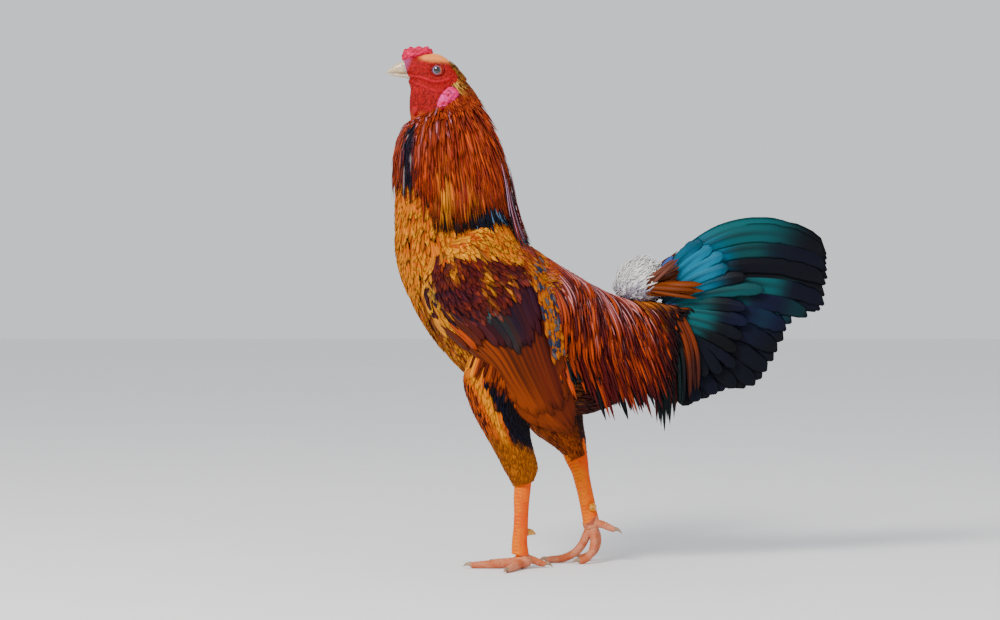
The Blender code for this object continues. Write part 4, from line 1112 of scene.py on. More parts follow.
def tail_colours(x, z, low, warm):
    """Black feathers with a cyan root, teal along the top and in a band below the middle, and navy under that."""
    colour = blend(warm * 0.5, JET * 0.7, NAVY)
    # The teal, cyan and blue patches are partly the feathers' own green gloss and partly painted sheen.
    for factor, tint in (
        (0.8 * patch(x, z, (172, 290), (38, 26)), NAVY * 1.7),
        (0.8 * patch(x, z, (160, 365), (22, 9), 0.1), SPRUCE * 0.9),
        (0.95 * patch(x, z, (150, 318), (56, 9), 0.16), TEAL * 0.6),
        (0.9 * patch(x, z, (98, 290), (26, 19)), TEAL * 0.9),
        (0.5 * patch(x, z, (200, 292), (26, 8)), TEAL * 0.5),
        ((1 - low * 5) * patch(x, z, (146, 392), (66, 26)), TEAL * 0.75),
        (patch(x, z, (102, 344), (36, 30), 0.4), CYAN),
        (0.8 * patch(x, z, (71, 296), (7, 7)), linear(80, 120, 190)),
    ):
        colour = blend(factor * (0.75 + 0.35 * warm), colour, tint)
    return colour


def tail(finish):
    """The tail: on each side a fan of broad feathers, each over the next, and coverts at its root."""
    draw = np.random.default_rng(25)
    coat = Coat("tail_feathers", finish, "tail_plumage", ["tail"])
    for side in (1, -1):
        for k, low in enumerate(np.linspace(0, 1, FAN)):
            root = np.array([66, 322 - 53 * low])
            tip = spline(TAIL_ENDS, low) + draw.normal(0, 1.2, 2)
            bow = np.interp(low * (len(TAIL_BOW) - 1), range(len(TAIL_BOW)), TAIL_BOW)
            wide = np.interp(low, (0, 0.3, 0.7, 1), (12.0, 13.0, 13.0, 11.0))
            layer = 3.0 + 16.0 * low + (2.0 if k % 2 else 0.0)
            tail_feather(coat, root, tip, bow, side, 2.0 + 5 * low, layer, wide, low, draw)
        for low in np.linspace(0.0, 1, TAIL_COVERTS):
            turned = math.radians(52 - 102 * low)
            way = np.array([math.cos(turned), math.sin(turned)])
            root = np.array([64, 318 - 44 * low])
            tip = root + way * np.interp(low, (0, 0.4, 1), (66, 112, 78)) * draw.uniform(0.85, 1.1)
            tail_feather(coat, root, tip, 7.0, side, 6.0 + 6 * low, 11.0 + 13 * low, 9.0, 0.2 + low, draw)
    coat.make()


def tail_feather(coat, root, tip, bow, side, near_y, far_y, wide, low, draw):
    """One broad feather in the upright fan, along its chord plus bow times sin(pi s)^0.6 square to it."""
    s = np.linspace(0, 1, 26)
    way = tip - root
    over = unit(np.array([-way[1], way[0]]))
    flat = root + way * s[:, None] + over * (bow * np.sin(np.pi * s) ** 0.6)[:, None]
    path = np.stack([flat[:, 0], -side * (near_y + (far_y - near_y) * s**1.2), flat[:, 1]], 1)[None]
    normal = np.broadcast_to([0.0, -float(side), 0.10], path.shape)
    torn = 1 - draw.uniform(0, 0.2, len(s)) * slope(s, 0.6, 0.2)
    outline = np.interp(s, (0, 0.12, 0.4, 0.8, 0.93, 0.985, 1), (0.35, 0.6, 0.9, 1.0, 0.86, 0.5, 0.12))
    half = (wide * torn * outline)[None]
    colour = tail_colours(path[..., 0], path[..., 2], min(low, 1.0), draw.random())
    place = np.array([[0.25 + 0.4 * draw.random(), 0.1 + 0.8 * min(low, 1.0)]])
    coat.add(path, normal, half, place, colour, colour * 0.8, JET, 0.5, 0.8, 9, 0.1, 0.45)


def thigh_coat(name, side, finish):
    """The drumstick's silky feathers: gold with dark specks in front, a bright stripe, and blue-black behind."""
    draw = np.random.default_rng(26)
    coat = Coat(f"thigh_{name}_feathers", finish, "thigh_plumage", [f"thigh_{name}"])
    surface = thigh(side)
    number = THIGH_FEATHERS
    end = 0.86 if side == 1 else 0.66
    u = draw.uniform(-0.02, end, number)
    angle = draw.uniform(-np.pi, np.pi, number)
    slim = np.interp(u, (0, 0.6, 0.93), (1.0, 0.75, 0.42))
    long = draw.uniform(24, 38, number) * slim / rate(surface, u, angle)
    tip = np.minimum(u + long, end + 0.06 + 0.03 * np.cos(angle))
    points, normal, s = strands(surface, u, angle, tip, angle + draw.normal(0, 0.04, number), 6)
    lift = (-1.8 + 2.0 * s**0.8) * slim[:, None] + draw.gamma(1.5, 0.15, number)[:, None] * s**3
    half = (2.8 * slim * draw.uniform(0.8, 1.15, number))[:, None] * lance(s)
    x, z = points[:, 3, 0], points[:, 3, 2]
    warm = draw.random(number)
    if side == 1:
        off = (x + 168) * 0.9 + (z - 271) * 0.436 + 11
        wide = np.interp(z, (135, 165), (5.0, 8.5))
        base = blend(near(off, 0.25 * wide, 0.6 * wide), COPPER, GOLD)
        base = blend(slope(off, wide, 2), base, blend(warm**4, JET, NAVY * 1.5))
        under = slope(z - 218.8 + 1.02 * (x + 138.5), 0, 3) * (off > 0)
        base = blend(under, base, blend(warm, UMBER, BAY))
        specks = pick(warm < 0.3, UMBER, pick(warm < 0.42, JET, RUST))
        base = blend(slope(off, -wide * 0.8, -2), base, specks)
        low = slope(155 - z - 0.25 * (x + 110), 0, 8)
    else:
        base = blend(warm, UMBER, linear(176, 100, 50))
        base = blend(near(np.abs(angle), 2.7, 0.5), base, blend(warm, JET, CHOCOLATE))
        low = 0
    base = blend(low, base, blend(warm, blend(0.5, UMBER, MUSTARD), MUSTARD))
    coat.add(points + normal * lift[..., None], normal, half, body_map(u, angle), varied(draw, base, 0.12),
             varied(draw, blend(0.12, base, CHOCOLATE), 0.1), CHOCOLATE, draw.uniform(0, 0.3, number), 0.85)
    coat.make()


def tuft(coat, draw, side, number, low, high, out, spread, way, reach, wide, first, second):
    """Loose feathers that lean along way, rooted in a box out from the middle, from low to high (x, z)."""
    low, high = (np.array([x, y - side * out, z], float) for (x, z), y in ((low, -spread), (high, spread)))
    root = low + (high - low) * draw.random((number, 3))
    way = np.array(way) * (1, side, 1)
    lean = unit(way + draw.normal(0, 0.1, (number, 3)))
    s = np.linspace(0, 1, 7)
    length = draw.uniform(*reach, number)
    points = root[:, None] + lean[:, None] * (length[:, None] * s)[..., None]
    bend = draw.normal(1.0, 0.4, number)
    points[..., 0] += bend[:, None] * s**2
    points[..., 2] -= 0.5 * bend[:, None] * s**2
    outward = np.where(root[:, 1] < 0, -1.0, 1.0)
    face = np.stack([draw.normal(0, 0.2, number), outward, draw.uniform(0, 0.4, number)], 1)
    normal = np.broadcast_to(face[:, None], points.shape)
    half = (wide * draw.uniform(0.7, 1.2, number))[:, None] * lance(s)
    place = root_map(draw, number)
    base = varied(draw, blend(draw.random(number), first, second), 0.12)
    coat.add(points, normal, half, place, base, base * 0.8, ASH, 0.1, 0.6, 5, 0.12, 0.25)


# The down's ball, with its middle and radii, and its layers: how many feathers, half width, how far the tips rise off
# the ball, and how unevenly the feathers lie.
DOWN_MIDDLE, DOWN_RADII = (38, 0, 319), (30, 16, 36)
DOWN_LAYERS = ((1500, 6.5, 0.0, 0.02), (1300, 0.8, 0.7, 0.12))
# The brown and blue feathers beside the down: how many, the box of their roots from low to high (x, z), how far out it
# lies and its half depth, the way they lean, their lengths, half width and two colours.
BESIDE_DOWN = (
    (12, (50, 318), (58, 332), 13, 1, (0.90, 0.05, 0.24), (20, 30), 4.4, linear(84, 44, 24), linear(52, 28, 18)),
    (12, (42, 315), (52, 326), 17, 1, (0.98, -0.06, -0.04), (44, 60), 4.6, linear(124, 68, 30), linear(84, 42, 18)),
    (12, (40, 325), (50, 330), 17, 2, (0.76, 0.14, 0.64), (38, 52), 2.4, linear(132, 92, 84), linear(88, 48, 28)),
    (5, (60, 338), (66, 344), 7, 1, (0.70, 0.0, 0.7), (16, 22), 3.2, linear(90, 116, 166), linear(60, 84, 140)),
)


def rump_tuft(finish):
    """The white down at the tail's root, feathers on a ball that sweep back and up, with others beside it."""
    draw = np.random.default_rng(27)
    coat = Coat("rump_down", finish, "tail_plumage")
    for number, wide, rise, wave in DOWN_LAYERS:
        way = unit(draw.normal(0, 1, (number, 3)))
        way[:, 2] = np.maximum(way[:, 2], -0.35 * np.abs(way[:, 2]))
        core = np.array(DOWN_MIDDLE) + way * DOWN_RADII
        sweep = np.array([0.7, 0, 0.6]) + draw.normal(0, 0.2, (number, 3))
        sweep -= way * (np.sum(sweep * way, 1) - rise * draw.uniform(0.3, 1, number))[:, None]
        s = np.linspace(0, 1, 6)
        reach = draw.uniform(8, 17, number)
        points = core[:, None] + sweep[:, None] * (reach[:, None] * s)[..., None]
        points = points - way[:, None] * (0.02 * (reach[:, None] * s) ** 2)[..., None]
        normal = np.broadcast_to((way + draw.normal(0, wave, (number, 3)))[:, None], points.shape)
        half = draw.uniform(0.8, 1.2, number)[:, None] * wide * lance(s)
        low = slope(core[:, 2], 324, -10) * (draw.random(number) < 0.75)
        base = blend(low, DOWN, linear(178, 166, 190, 1))
        coat.add(points, normal, half, root_map(draw, number), base, base, DOWN, 0.0, 0.8, 3, 0.05, 0.2)
    for side in (1, -1):
        for feathers in BESIDE_DOWN:
            tuft(coat, draw, side, *feathers)
    coat.make()


def loft(rows, u, angles, grow=0.0, centre_y=0.0):
    """Points and faces of a closed form over rows, with one point in the middle of each end."""
    u = np.asarray(u, float)
    angle = turns(angles)
    points = section(rows, u[:, None], angle[None], grow, centre_y)
    return closed(points)


def closed(rings):
    """Points and faces of a form from rings (station, corner, xyz), wound outwards, capped at its ends by fans."""
    stations, corners = rings.shape[:2]
    points = np.concatenate([rings.reshape(-1, 3), rings[:1].mean(1), rings[-1:].mean(1)])
    k = np.arange(corners)
    n = (k + 1) % corners
    a = (np.arange(stations - 1) * corners)[:, None]
    quads = np.stack([a + k, a + n, a + corners + n, a + corners + k], -1).reshape(-1, 4)
    last = (stations - 1) * corners
    first_cap = np.stack([n, k, np.full(corners, stations * corners)], -1)
    last_cap = np.stack([last + k, last + n, np.full(corners, stations * corners + 1)], -1)
    faces = [quads, np.concatenate([first_cap, last_cap])]
    ring_way = np.cross(rings[:, 1] - rings[:, 0], rings[:, 2] - rings[:, 1]).sum(0)
    travel = rings[-1].mean(0) - rings[0].mean(0)
    if np.dot(ring_way, travel) > 0:
        return points, faces
    return points, [group[:, ::-1] for group in faces]


def fused(name, forms, voxel, rounds):
    """One closed skin round several overlapping forms: they are joined, remeshed in voxels, and smoothed."""
    points, faces, start = [], {3: [], 4: []}, 0
    for form, groups in forms:
        points.append(form)
        for group in groups:
            faces[group.shape[1]].append(group + start)
        start += len(form)
    mesh = bpy.data.meshes.new(name)
    lists = [row for groups in faces.values() for group in groups for row in group.tolist()]
    mesh.from_pydata((np.concatenate(points) * MM).tolist(), [], lists)
    made = placed(name, mesh)
    remesh = made.modifiers.new("fuse", "REMESH")
    remesh.mode, remesh.voxel_size, remesh.adaptivity = "VOXEL", voxel * MM, 0.0
    smooth = made.modifiers.new("ease", "SMOOTH")
    smooth.iterations, smooth.factor = rounds, 0.5
    bpy.context.view_layer.update()
    result = bpy.data.meshes.new_from_object(made.evaluated_get(bpy.context.evaluated_depsgraph_get()))
    bpy.data.objects.remove(made)
    place = np.empty(len(result.vertices) * 3)
    result.vertices.foreach_get("co", place)
    normal = np.empty(len(result.vertices) * 3)
    result.vertices.foreach_get("normal", normal)
    corners = np.empty(len(result.loops), int)
    result.loops.foreach_get("vertex_index", corners)
    sizes = np.empty(len(result.polygons), int)
    result.polygons.foreach_get("loop_total", sizes)
    starts = np.cumsum(sizes) - sizes
    groups = [corners[starts[sizes == size][:, None] + np.arange(size)] for size in np.unique(sizes)]
    bpy.data.meshes.remove(result)
    return place.reshape(-1, 3) / MM, normal.reshape(-1, 3), groups


# The folds of the face: the points that each runs through, x and z, how far it stands out, and its width.
FOLDS = [
    ([(-231, 566.5), (-222, 565.5), (-213, 563), (-203, 559.5), (-193, 559), (-184, 562)], 1.7, 1.9),
    ([(-214, 582), (-205, 585.5), (-195, 585.5), (-186, 580)], 1.0, 1.8),
    ([(-229, 560.5), (-219, 556.5), (-209, 552), (-199, 548), (-190, 549)], 1.2, 2.0),
    ([(-224, 554), (-220, 545), (-221, 534), (-219, 523)], 1.1, 1.5),
    ([(-216, 549), (-213, 541), (-215, 532), (-212, 522)], 1.0, 1.4),
    ([(-208, 545), (-205, 537), (-207, 529), (-204, 522)], 0.8, 1.4),
    ([(-228, 576), (-218, 577.5), (-211, 575), (-208, 570)], 0.9, 1.8),
    ([(-226, 583), (-219, 583), (-213, 580)], 0.7, 1.5),
    ([(-236, 569.2), (-230, 568.6), (-224, 567.4), (-219, 566.6)], -1.3, 0.9),
]


def ridges(points):
    """How far the face stands out at points, from the folds that run over it: each a bell across its line."""
    raised = np.zeros(len(points))
    flat = points[:, (0, 2)]
    for line, height, width in FOLDS:
        line = spline(np.array(line, float), np.linspace(0, 1, 12))
        away = np.full(len(points), np.inf)
        for a, b in zip(line[:-1], line[1:]):
            way = b - a
            t = np.clip(((flat - a) @ way) / (way @ way), 0, 1)
            away = np.minimum(away, np.linalg.norm(flat - a - t[:, None] * way, axis=1))
        raised += height * np.exp(-((away / width) ** 2))
    socket = np.hypot(points[:, 0] - EYE[0], points[:, 2] - EYE[2])
    raised -= 1.4 * np.exp(-((socket / 8.5) ** 4)) * (points[:, 2] > 555)
    return raised * slope(np.abs(points[:, 1]), 3, 4)


# The sizes of the voxels in which the body, the head and the legs are fused.
BODY_VOXEL, HEAD_VOXEL, LEG_VOXEL = 2.6, 0.9, 0.75


def skin(finish):
    """The bird's one skin: body, rump and drumsticks in coarse voxels, and head and throat in fine ones with folds."""
    forms = [loft(BODY, np.linspace(0, 0.62, 26), 40, -6.0), loft(BODY, np.linspace(0.6, CAPE_TOP, 18), 40, -8.5)]
    for side in (1, -1):
        rows = LEFT_THIGH if side == 1 else RIGHT_THIGH
        u = np.linspace(0, 0.92 if side == 1 else 0.74, 22)
        centre = -side * (HIP_Y + (HOCK_Y - HIP_Y) * u[:, None])
        forms.append(loft(rows, u, 24, -np.interp(u, (0, 0.8, 1), (3.5, 2.2, 0.4))[:, None], centre))
    body, _, body_faces = fused("body", forms, BODY_VOXEL, 2)
    forms = [loft(HEAD, np.linspace(0, 1, 30), 48), loft(THROAT, np.linspace(0, 1, 24), 48, -0.6)]
    head, normal, head_faces = fused("head", forms, HEAD_VOXEL, 5)
    raised = ridges(head)
    head = head + normal * raised[:, None]
    faces = [*body_faces, *(group + len(body) for group in head_faces)]
    points = np.concatenate([body, head])
    attributes = {"marks": markings(points), "fold": np.concatenate([np.zeros(len(body)), raised])}
    mesh_piece("skin", points, faces, finish, "face_skin", ["head"], None, attributes)


def pad(name, outline, level, dome, side, finish, slot_name, nodes, fold):
    """A fleshy lobe: its outline scaled down to its middle, standing out by dome times (1 - r^2)^0.6, with folds."""
    corners = 64
    outline = spline(np.array([*outline, outline[0]], float), np.linspace(0, 1, corners, endpoint=False))
    middle = outline.mean(0)
    r = np.concatenate([np.linspace(0, 1, 14)[1:], np.linspace(1, 0, 8)[1:-1]])
    out = np.concatenate([np.ones(13), -0.6 * np.ones(6)])
    flat = middle + (outline - middle)[None] * r[:, None, None]
    rise = dome * (1 - r[:, None] ** 2) ** 0.6 * out[:, None]
    inside = (1 - r[:, None] ** 4) * (out[:, None] > 0)
    wrinkle = np.sin((flat[..., 0] * 0.85 - flat[..., 1] * 0.55) * 1.25) * fold * inside
    y = -side * (level + rise + wrinkle)
    points, faces = closed(np.stack([flat[..., 0], y, flat[..., 1]], -1))
    turn_out(mesh_piece(name, points, faces, finish, slot_name, nodes))


def turn_out(made):
    """Makes every face of a closed piece point outwards."""
    work = bmesh.new()
    work.from_mesh(made.data)
    bmesh.ops.recalc_face_normals(work, faces=work.faces)
    work.to_mesh(made.data)
    work.free()


def bead_ring(name, centre, radii, thick, side, finish, slot_name, level):
    """A lid or rim: a round bead along a flat oval, level out from the bird's middle."""
    a = turns(48)[:, None]
    b = turns(12)[None]
    across = np.stack([np.cos(a), 0 * a, np.sin(a)], -1)
    middle = np.array([centre[0], -side * level, centre[1]]) + across * np.array([radii[0], 0, radii[1]])
    points = middle + (across * np.cos(b)[..., None] + np.array([0, -side, 0]) * np.sin(b)[..., None]) * thick
    rows, ring = points.shape[:2]
    i, k = np.meshgrid(np.arange(rows), np.arange(ring), indexing="ij")
    faces = np.stack([i * ring + k, i * ring + (k + 1) % ring, ((i + 1) % rows) * ring + (k + 1) % ring,
                      ((i + 1) % rows) * ring + k], -1).reshape(-1, 4)
    turn_out(mesh_piece(name, points.reshape(-1, 3), [faces], finish, slot_name))


# The outlines of an earlobe and a wattle: x and z.
LOBE = [
    (-183.8, 553), (-179, 552.6), (-173.4, 549), (-172, 543), (-175.7, 537.5), (-182.6, 530.6), (-189.6, 526),
    (-195.4, 523.7), (-197.7, 529.5), (-196.5, 536.4), (-193, 543.3), (-188.4, 549),
]
WATTLE = [(-225, 531), (-219.5, 531), (-217.5, 526), (-219, 520.5), (-223.5, 519.5), (-226.5, 524)]


# How far the comb's knobs stand out.
KNOB_RISE = 1.9


def comb(finish):
    """The pea comb: a thick low crest, swollen into three rows of knobs by cosines along it and round it."""
    u = np.linspace(0, 1, 70)[:, None]
    angle = turns(60)[None]
    knob = (0.5 + 0.5 * np.cos(TAU * 5.5 * u + 1.5 * np.cos(angle))) * (0.55 + 0.45 * np.cos(6 * angle))
    swell = KNOB_RISE * knob**0.8 * np.sin(np.pi * u) ** 0.4 * (np.cos(angle) > -0.4)
    points, faces = closed(section(COMB, u + 0 * angle, angle + 0 * u, swell - 0.6))
    turn_out(mesh_piece("comb_flesh", points, faces, finish, "comb_skin", ["comb"]))


def bill(finish):
    """The two halves of the bill, each a closed loft, and a rim round each nostril."""
    for name, rows in (("upper", UPPER_BILL), ("lower", LOWER_BILL)):
        points, faces = loft(rows, np.linspace(0, 1, 40), 40)
        turn_out(mesh_piece(f"bill_{name}", points, faces, finish, "bill_horn", [f"beak_{name}"]))
    for name, side in (("left", 1), ("right", -1)):
        bead_ring(f"nostril_{name}", (-236.5, 577.5), (2.0, 1.0), 0.55, side, finish, "bill_horn", 5.9)


def ball(middle, radii, rows, columns, poles):
    """A closed ball: x = sin a cos b, y = cos a, z = sin a sin b, with a from poles to pi less poles."""
    a = np.linspace(poles, np.pi - poles, rows)[:, None]
    b = turns(columns)[None]
    way = np.stack([np.sin(a) * np.cos(b), np.cos(a) + 0 * b, np.sin(a) * np.sin(b)], -1)
    return closed(np.array(middle) + way * radii)


def eye(name, side, finish):
    """A glossy ball, with its poles to the sides."""
    points, faces = ball(EYE * (1, side, 1), EYE_RADIUS * np.array([1, -side, 1]), 40, 48, 0.02)
    turn_out(mesh_piece(f"eye_ball_{name}", points, faces, finish, "eye", [f"eye_{name}"]))


def tube(points, radii, stations=28, corners=20):
    """A closed round form along a smooth path, its radius following the given ones, in a frame that doesn't twist."""
    s = np.linspace(0, 1, stations)
    path = spline(points, s)
    radius = spline(np.array(radii, float)[:, None], s)[:, 0]
    tangent = unit(np.gradient(path, axis=0))
    guide = np.array([0.0, 1.0, 0.0]) if abs(tangent[:, 1]).mean() < 0.6 else np.array([1.0, 0.0, 0.0])
    across = unit(np.cross(tangent, guide))
    other = np.cross(across, tangent)
    a = turns(corners)[None, :, None]
    ring = across[:, None] * np.cos(a) + other[:, None] * np.sin(a)
    return closed(path[:, None] + ring * radius[:, None, None])


def along_lines(points, lines):
    """For each point: its nearest line's number, the way along that line in mm, and its side (1 on the front)."""
    best = np.full(len(points), np.inf)
    which, way = np.zeros(len(points), int), np.zeros(len(points))
    facing = np.zeros(len(points))
    for number, (path, front) in enumerate(lines):
        path = spline(np.array(path, float), np.linspace(0, 1, 24))
        step = np.linalg.norm(np.diff(path, axis=0), axis=1)
        start = np.concatenate([[0], np.cumsum(step)])
        for k, (a, b) in enumerate(zip(path[:-1], path[1:])):
            run = (b - a) / step[k]
            t = np.clip((points - a) @ run, 0, step[k])
            off = points - a - t[:, None] * run
            away = np.linalg.norm(off, axis=1)
            nearer = away < best
            best = np.where(nearer, away, best)
            which = np.where(nearer, number, which)
            way = np.where(nearer, start[k] + t, way)
            facing = np.where(nearer, off @ np.array(front) / np.maximum(away, 1e-6), facing)
    return which, way, facing


# The lengths of the scutes down the shank's front and over the toes, and of the small scales behind them.
SHANK_SCUTE, TOE_SCUTE, REAR_SCALE = 4.3, 3.4, 3.0


def leg(name, side, finish):
    """A shank and its foot in one skin, with overlapping scutes down the shank's front and over each toe."""
    rows = LEFT_SHANK if side == 1 else RIGHT_SHANK
    middle = [((row[0] + row[2]) / 2, -side * HOCK_Y, (row[1] + row[3]) / 2) for row in rows]
    forms = [loft(rows, np.linspace(0, 1, 30), 28, -0.3, -side * HOCK_Y)]
    lines = [(middle, (-0.97, 0.0, -0.2))]
    for path, radii in TOES[name].values():
        path = np.array(path, float)
        radii = np.array(radii, float)
        path[:, 2] = np.maximum(path[:, 2], 0.80 * radii) - 0.06 * radii
        forms.append(tube(path, radii * 0.90))
        lines.append((path, (-0.3, 0.0, 0.95)))
    centre, size = PADS[name]
    forms.append(ball(centre, np.array(size) * 0.95, 12, 20, 0.1))
    points, normal, faces = fused(f"leg_{name}", forms, LEG_VOXEL, 5)
    which, way, facing = along_lines(points, lines)
    step = (way / np.where(which == 0, SHANK_SCUTE, TOE_SCUTE)) % 1.0
    plated = slope(facing, -0.1, 0.4)
    step_behind = (way / REAR_SCALE + 0.5 * (facing < -0.8)) % 1.0
    lift = 0.75 * step**2.5 * plated + 0.3 * step_behind**2 * (1 - plated)
    points = points + normal * lift[:, None]
    points[:, 2] = np.maximum(points[:, 2], 0.0)
    nodes = [f"shank_{name}", *(f"toe_{toe}_{name}" for toe in TOES[name])]
    attributes = {"plate": np.where(plated > 0.5, step, step_behind * 0.7), "toe": (which > 0).astype(float),
                  "rear": np.clip(-facing, 0, 1)}
    turn_out(mesh_piece(f"leg_{name}_skin", points, faces, finish, "shank_scales", nodes, None, attributes))


def claws(name, finish):
    """Curved claws that taper from the end of each toe, and that stay above the floor."""
    for toe, (path, radii) in TOES[name].items():
        end, before = np.array(path[-1], float), np.array(path[-2], float)
        heading = unit(end - before)
        run = np.linspace(0, 1, 6)
        route = end - heading * 1.5 + heading * CLAW * run[:, None]
        route[:, 2] += 2.2 * np.sin(np.pi * run) - 1.0 * run
        route[:, 2] = np.maximum(route[:, 2], 0.55 * radii[-1] * (1 - run) + 0.5)
        width = radii[-1] * 0.72 * (1 - run**1.6) + 0.25
        points, faces = tube(route, width, 16, 14)
        turn_out(mesh_piece(f"claw_{toe}_{name}_horn", points, faces, finish, "claw_horn", [f"claw_{toe}_{name}"]))


def spur(name, finish):
    """A short horn cone on the inner rear of the shank, bent up a little."""
    root, tip, radius = SPURS[name]
    run = np.linspace(0, 1, 5)
    route = np.array(root) + (np.array(tip) - root) * run[:, None]
    route[:, 2] += 1.2 * np.sin(np.pi * run)
    points, faces = tube(route, radius * np.array([1.0, 0.92, 0.78, 0.52, 0.16]), 16, 18)
    turn_out(mesh_piece(f"spur_{name}_horn", points, faces, finish, "spur_horn", [f"spur_{name}"]))


def skin_finish():
    """Bare skin: crimson face, painted highlights and shade on its folds, orange crown, brick throat, the coat's
    markings below.
    """
    made = Finish("bare_skin", Roughness=0.5, Specular_IOR_Level=0.15)
    place = made.place()
    x, _, z = made.parts(place)
    grain = made.noise(place, 420.0, 5.0, 0.6)
    blotch = made.noise(place, 90.0, 3.0)
    wrinkle = made.noise(made.stretched(place, (1.0, 1.0, 2.5)), 260.0, 3.0, 0.5, 1.5)
    pores = made.cells(place, 750.0)
    crimson, dark, orange, rose = linear(158, 0, 18), linear(92, 0, 10), linear(255, 176, 128), linear(206, 44, 78)
    colour = made.mix(grain.ramp(0.35, 0.7), crimson, dark)
    colour = made.mix(blotch.ramp(0.5, 0.8) * 0.4, colour, rose)
    # Painted rose highlights along the raised folds.
    colour = made.mix(made.attribute("fold", "Fac").ramp(0.35, 1.6) * (0.1 + wrinkle * 0.6), colour, rose)
    # Painted shade in the sunken folds and round the eye.
    colour = made.mix(made.attribute("fold", "Fac").ramp(0.0, -0.9) * 0.35, colour, dark)
    crown = (z + (blotch - 0.5) * 0.006 + x * 0.12).ramp(0.5545, 0.5625) * x.ramp(-0.222, -0.212)
    colour = made.mix(crown * (0.6 + grain * 0.4), colour, orange)
    cere = (x - (z - 0.58) * 0.4).ramp(-0.226, -0.233)
    colour = made.mix(cere * 0.75, colour, linear(150, 84, 120))
    throat = z.ramp(0.552, 0.540)
    colour = made.mix(throat * 0.8, colour, made.mix(grain.ramp(0.4, 0.65), linear(150, 4, 10), linear(84, 2, 6)))
    bib = z.ramp(0.528, 0.520) * x.ramp(-0.208, -0.214)
    colour = made.mix(bib * (0.3 + blotch * 0.5), colour, linear(176, 92, 30))
    below = z.ramp(0.512, 0.506)
    marked = made.mix(grain.ramp(0.3, 0.7) * 0.5, made.attribute("marks"), CHOCOLATE)
    colour = made.mix(below, colour, marked)
    made.give("Base Color", colour)
    made.give("Roughness", 0.45 + grain * 0.25)
    made.bump(grain * 0.5 + pores * 0.6 + wrinkle * 0.9, 0.0008)
    return made.material


def flesh_finish(name, bright, dark, pale, scale, rough=0.5):
    """Fleshy skin in two reds with pale streaks and fine pores."""
    made = Finish(name, Roughness=rough, Specular_IOR_Level=0.18)
    place = made.place()
    grain = made.noise(place, scale, 5.0, 0.6)
    streak = made.noise(made.stretched(place, (1.0, 1.0, 2.2)), scale * 0.45, 2.0, 0.5, 1.2)
    colour = made.mix(grain.ramp(0.35, 0.7), bright, dark)
    colour = made.mix(streak.ramp(0.5, 0.68) * 0.6, colour, pale)
    made.give("Base Color", colour)
    made.give("Roughness", rough + (grain - 0.5) * 0.3)
    made.bump(grain * 0.5 + made.cells(place, scale * 2) * 0.6, 0.0006)
    return made.material


HORN_ROUGH = 0.3


def horn_finish(name, pale, dark, tip, along="x", low=-0.24, high=-0.23):
    """Horn with growth lines, darker towards one end."""
    made = Finish(name, Roughness=HORN_ROUGH, Coat_Weight=0.3)
    place = made.place()
    x, _, z = made.parts(place)
    grain = made.noise(made.stretched(place, (1.0, 2.0, 4.0)), 260.0, 4.0)
    cloud = made.noise(place, 120.0, 2.0)
    colour = made.mix(grain.ramp(0.3, 0.75), pale, dark)
    colour = made.mix((x if along == "x" else z).ramp(low, high) * cloud.ramp(0.3, 0.6) * 0.8, colour, tip)
    made.give("Base Color", colour)
    made.give("Roughness", HORN_ROUGH + (grain - 0.5) * 0.25)
    made.bump(grain, 0.0003)
    return made.material


# The iris and the pupil fade out between these distances from the eye's axis, in metres.
IRIS_EDGE, PUPIL_EDGE = (0.0057, 0.0066), (0.0042, 0.0036)


def eye_finish():
    """Black pupil, grey iris that turns orange at the back, and a dark rim, by the distance from the eye's axis."""
    made = Finish("eye_gloss", Roughness=0.06, IOR=1.4, Coat_Weight=1.0, Coat_Roughness=0.02)
    x, _, z = made.parts(made.place())
    off_x, off_z = x - float(EYE[0] * MM), z - float(EYE[2] * MM)
    away = (off_x * off_x + off_z * off_z) ** 0.5
    grain = made.noise(made.place(), 1600.0, 3.0)
    iris = made.mix(off_x.ramp(-0.002, 0.004), linear(120, 108, 136), linear(180, 84, 30))
    iris = made.mix(grain.ramp(0.3, 0.7) * 0.5, iris, linear(84, 60, 74))
    colour = made.mix(away.ramp(*IRIS_EDGE), iris, linear(40, 12, 12))
    colour = made.mix(away.ramp(*PUPIL_EDGE), colour, (0.003, 0.003, 0.004))
    made.give("Base Color", colour)
    return made.material


def scale_finish():
    """Leg scales: orange shanks, salmon toes, each scute with a painted cream highlight on its lower edge and a dark
    seam.
    """
    made = Finish("leg_scales", Roughness=0.4, Specular_IOR_Level=0.06)
    place = made.place()
    grain = made.noise(place, 500.0, 4.0)
    cloud = made.noise(place, 60.0, 2.0)
    plate = made.attribute("plate", "Fac")
    toe = made.attribute("toe", "Fac").ramp(0.2, 0.8)
    orange = made.mix(cloud.ramp(0.35, 0.65), linear(214, 108, 0), linear(226, 134, 0))
    orange = made.mix(made.attribute("rear", "Fac").ramp(0.1, 0.8) * 0.4, orange, linear(220, 100, 70))
    salmon = made.mix(cloud.ramp(0.35, 0.65), linear(208, 150, 128), linear(188, 116, 94))
    colour = made.mix(toe, orange, salmon)
    colour = made.mix(grain.ramp(0.45, 0.75) * 0.4, colour, linear(170, 60, 16))
    # Painted cream highlight on each scute's raised lower edge.
    colour = made.mix(plate.ramp(0.6, 0.95) * (0.5 - toe * 0.2), colour, linear(244, 176, 70))
    colour = made.mix(plate.ramp(0.10, 0.0) * 0.6, colour, linear(120, 44, 14))
    made.give("Base Color", colour)
    made.give("Roughness", 0.32 + grain * 0.2)
    made.bump(grain * 0.5 + made.cells(place, 900.0) * 0.4, 0.0004)
    return made.material


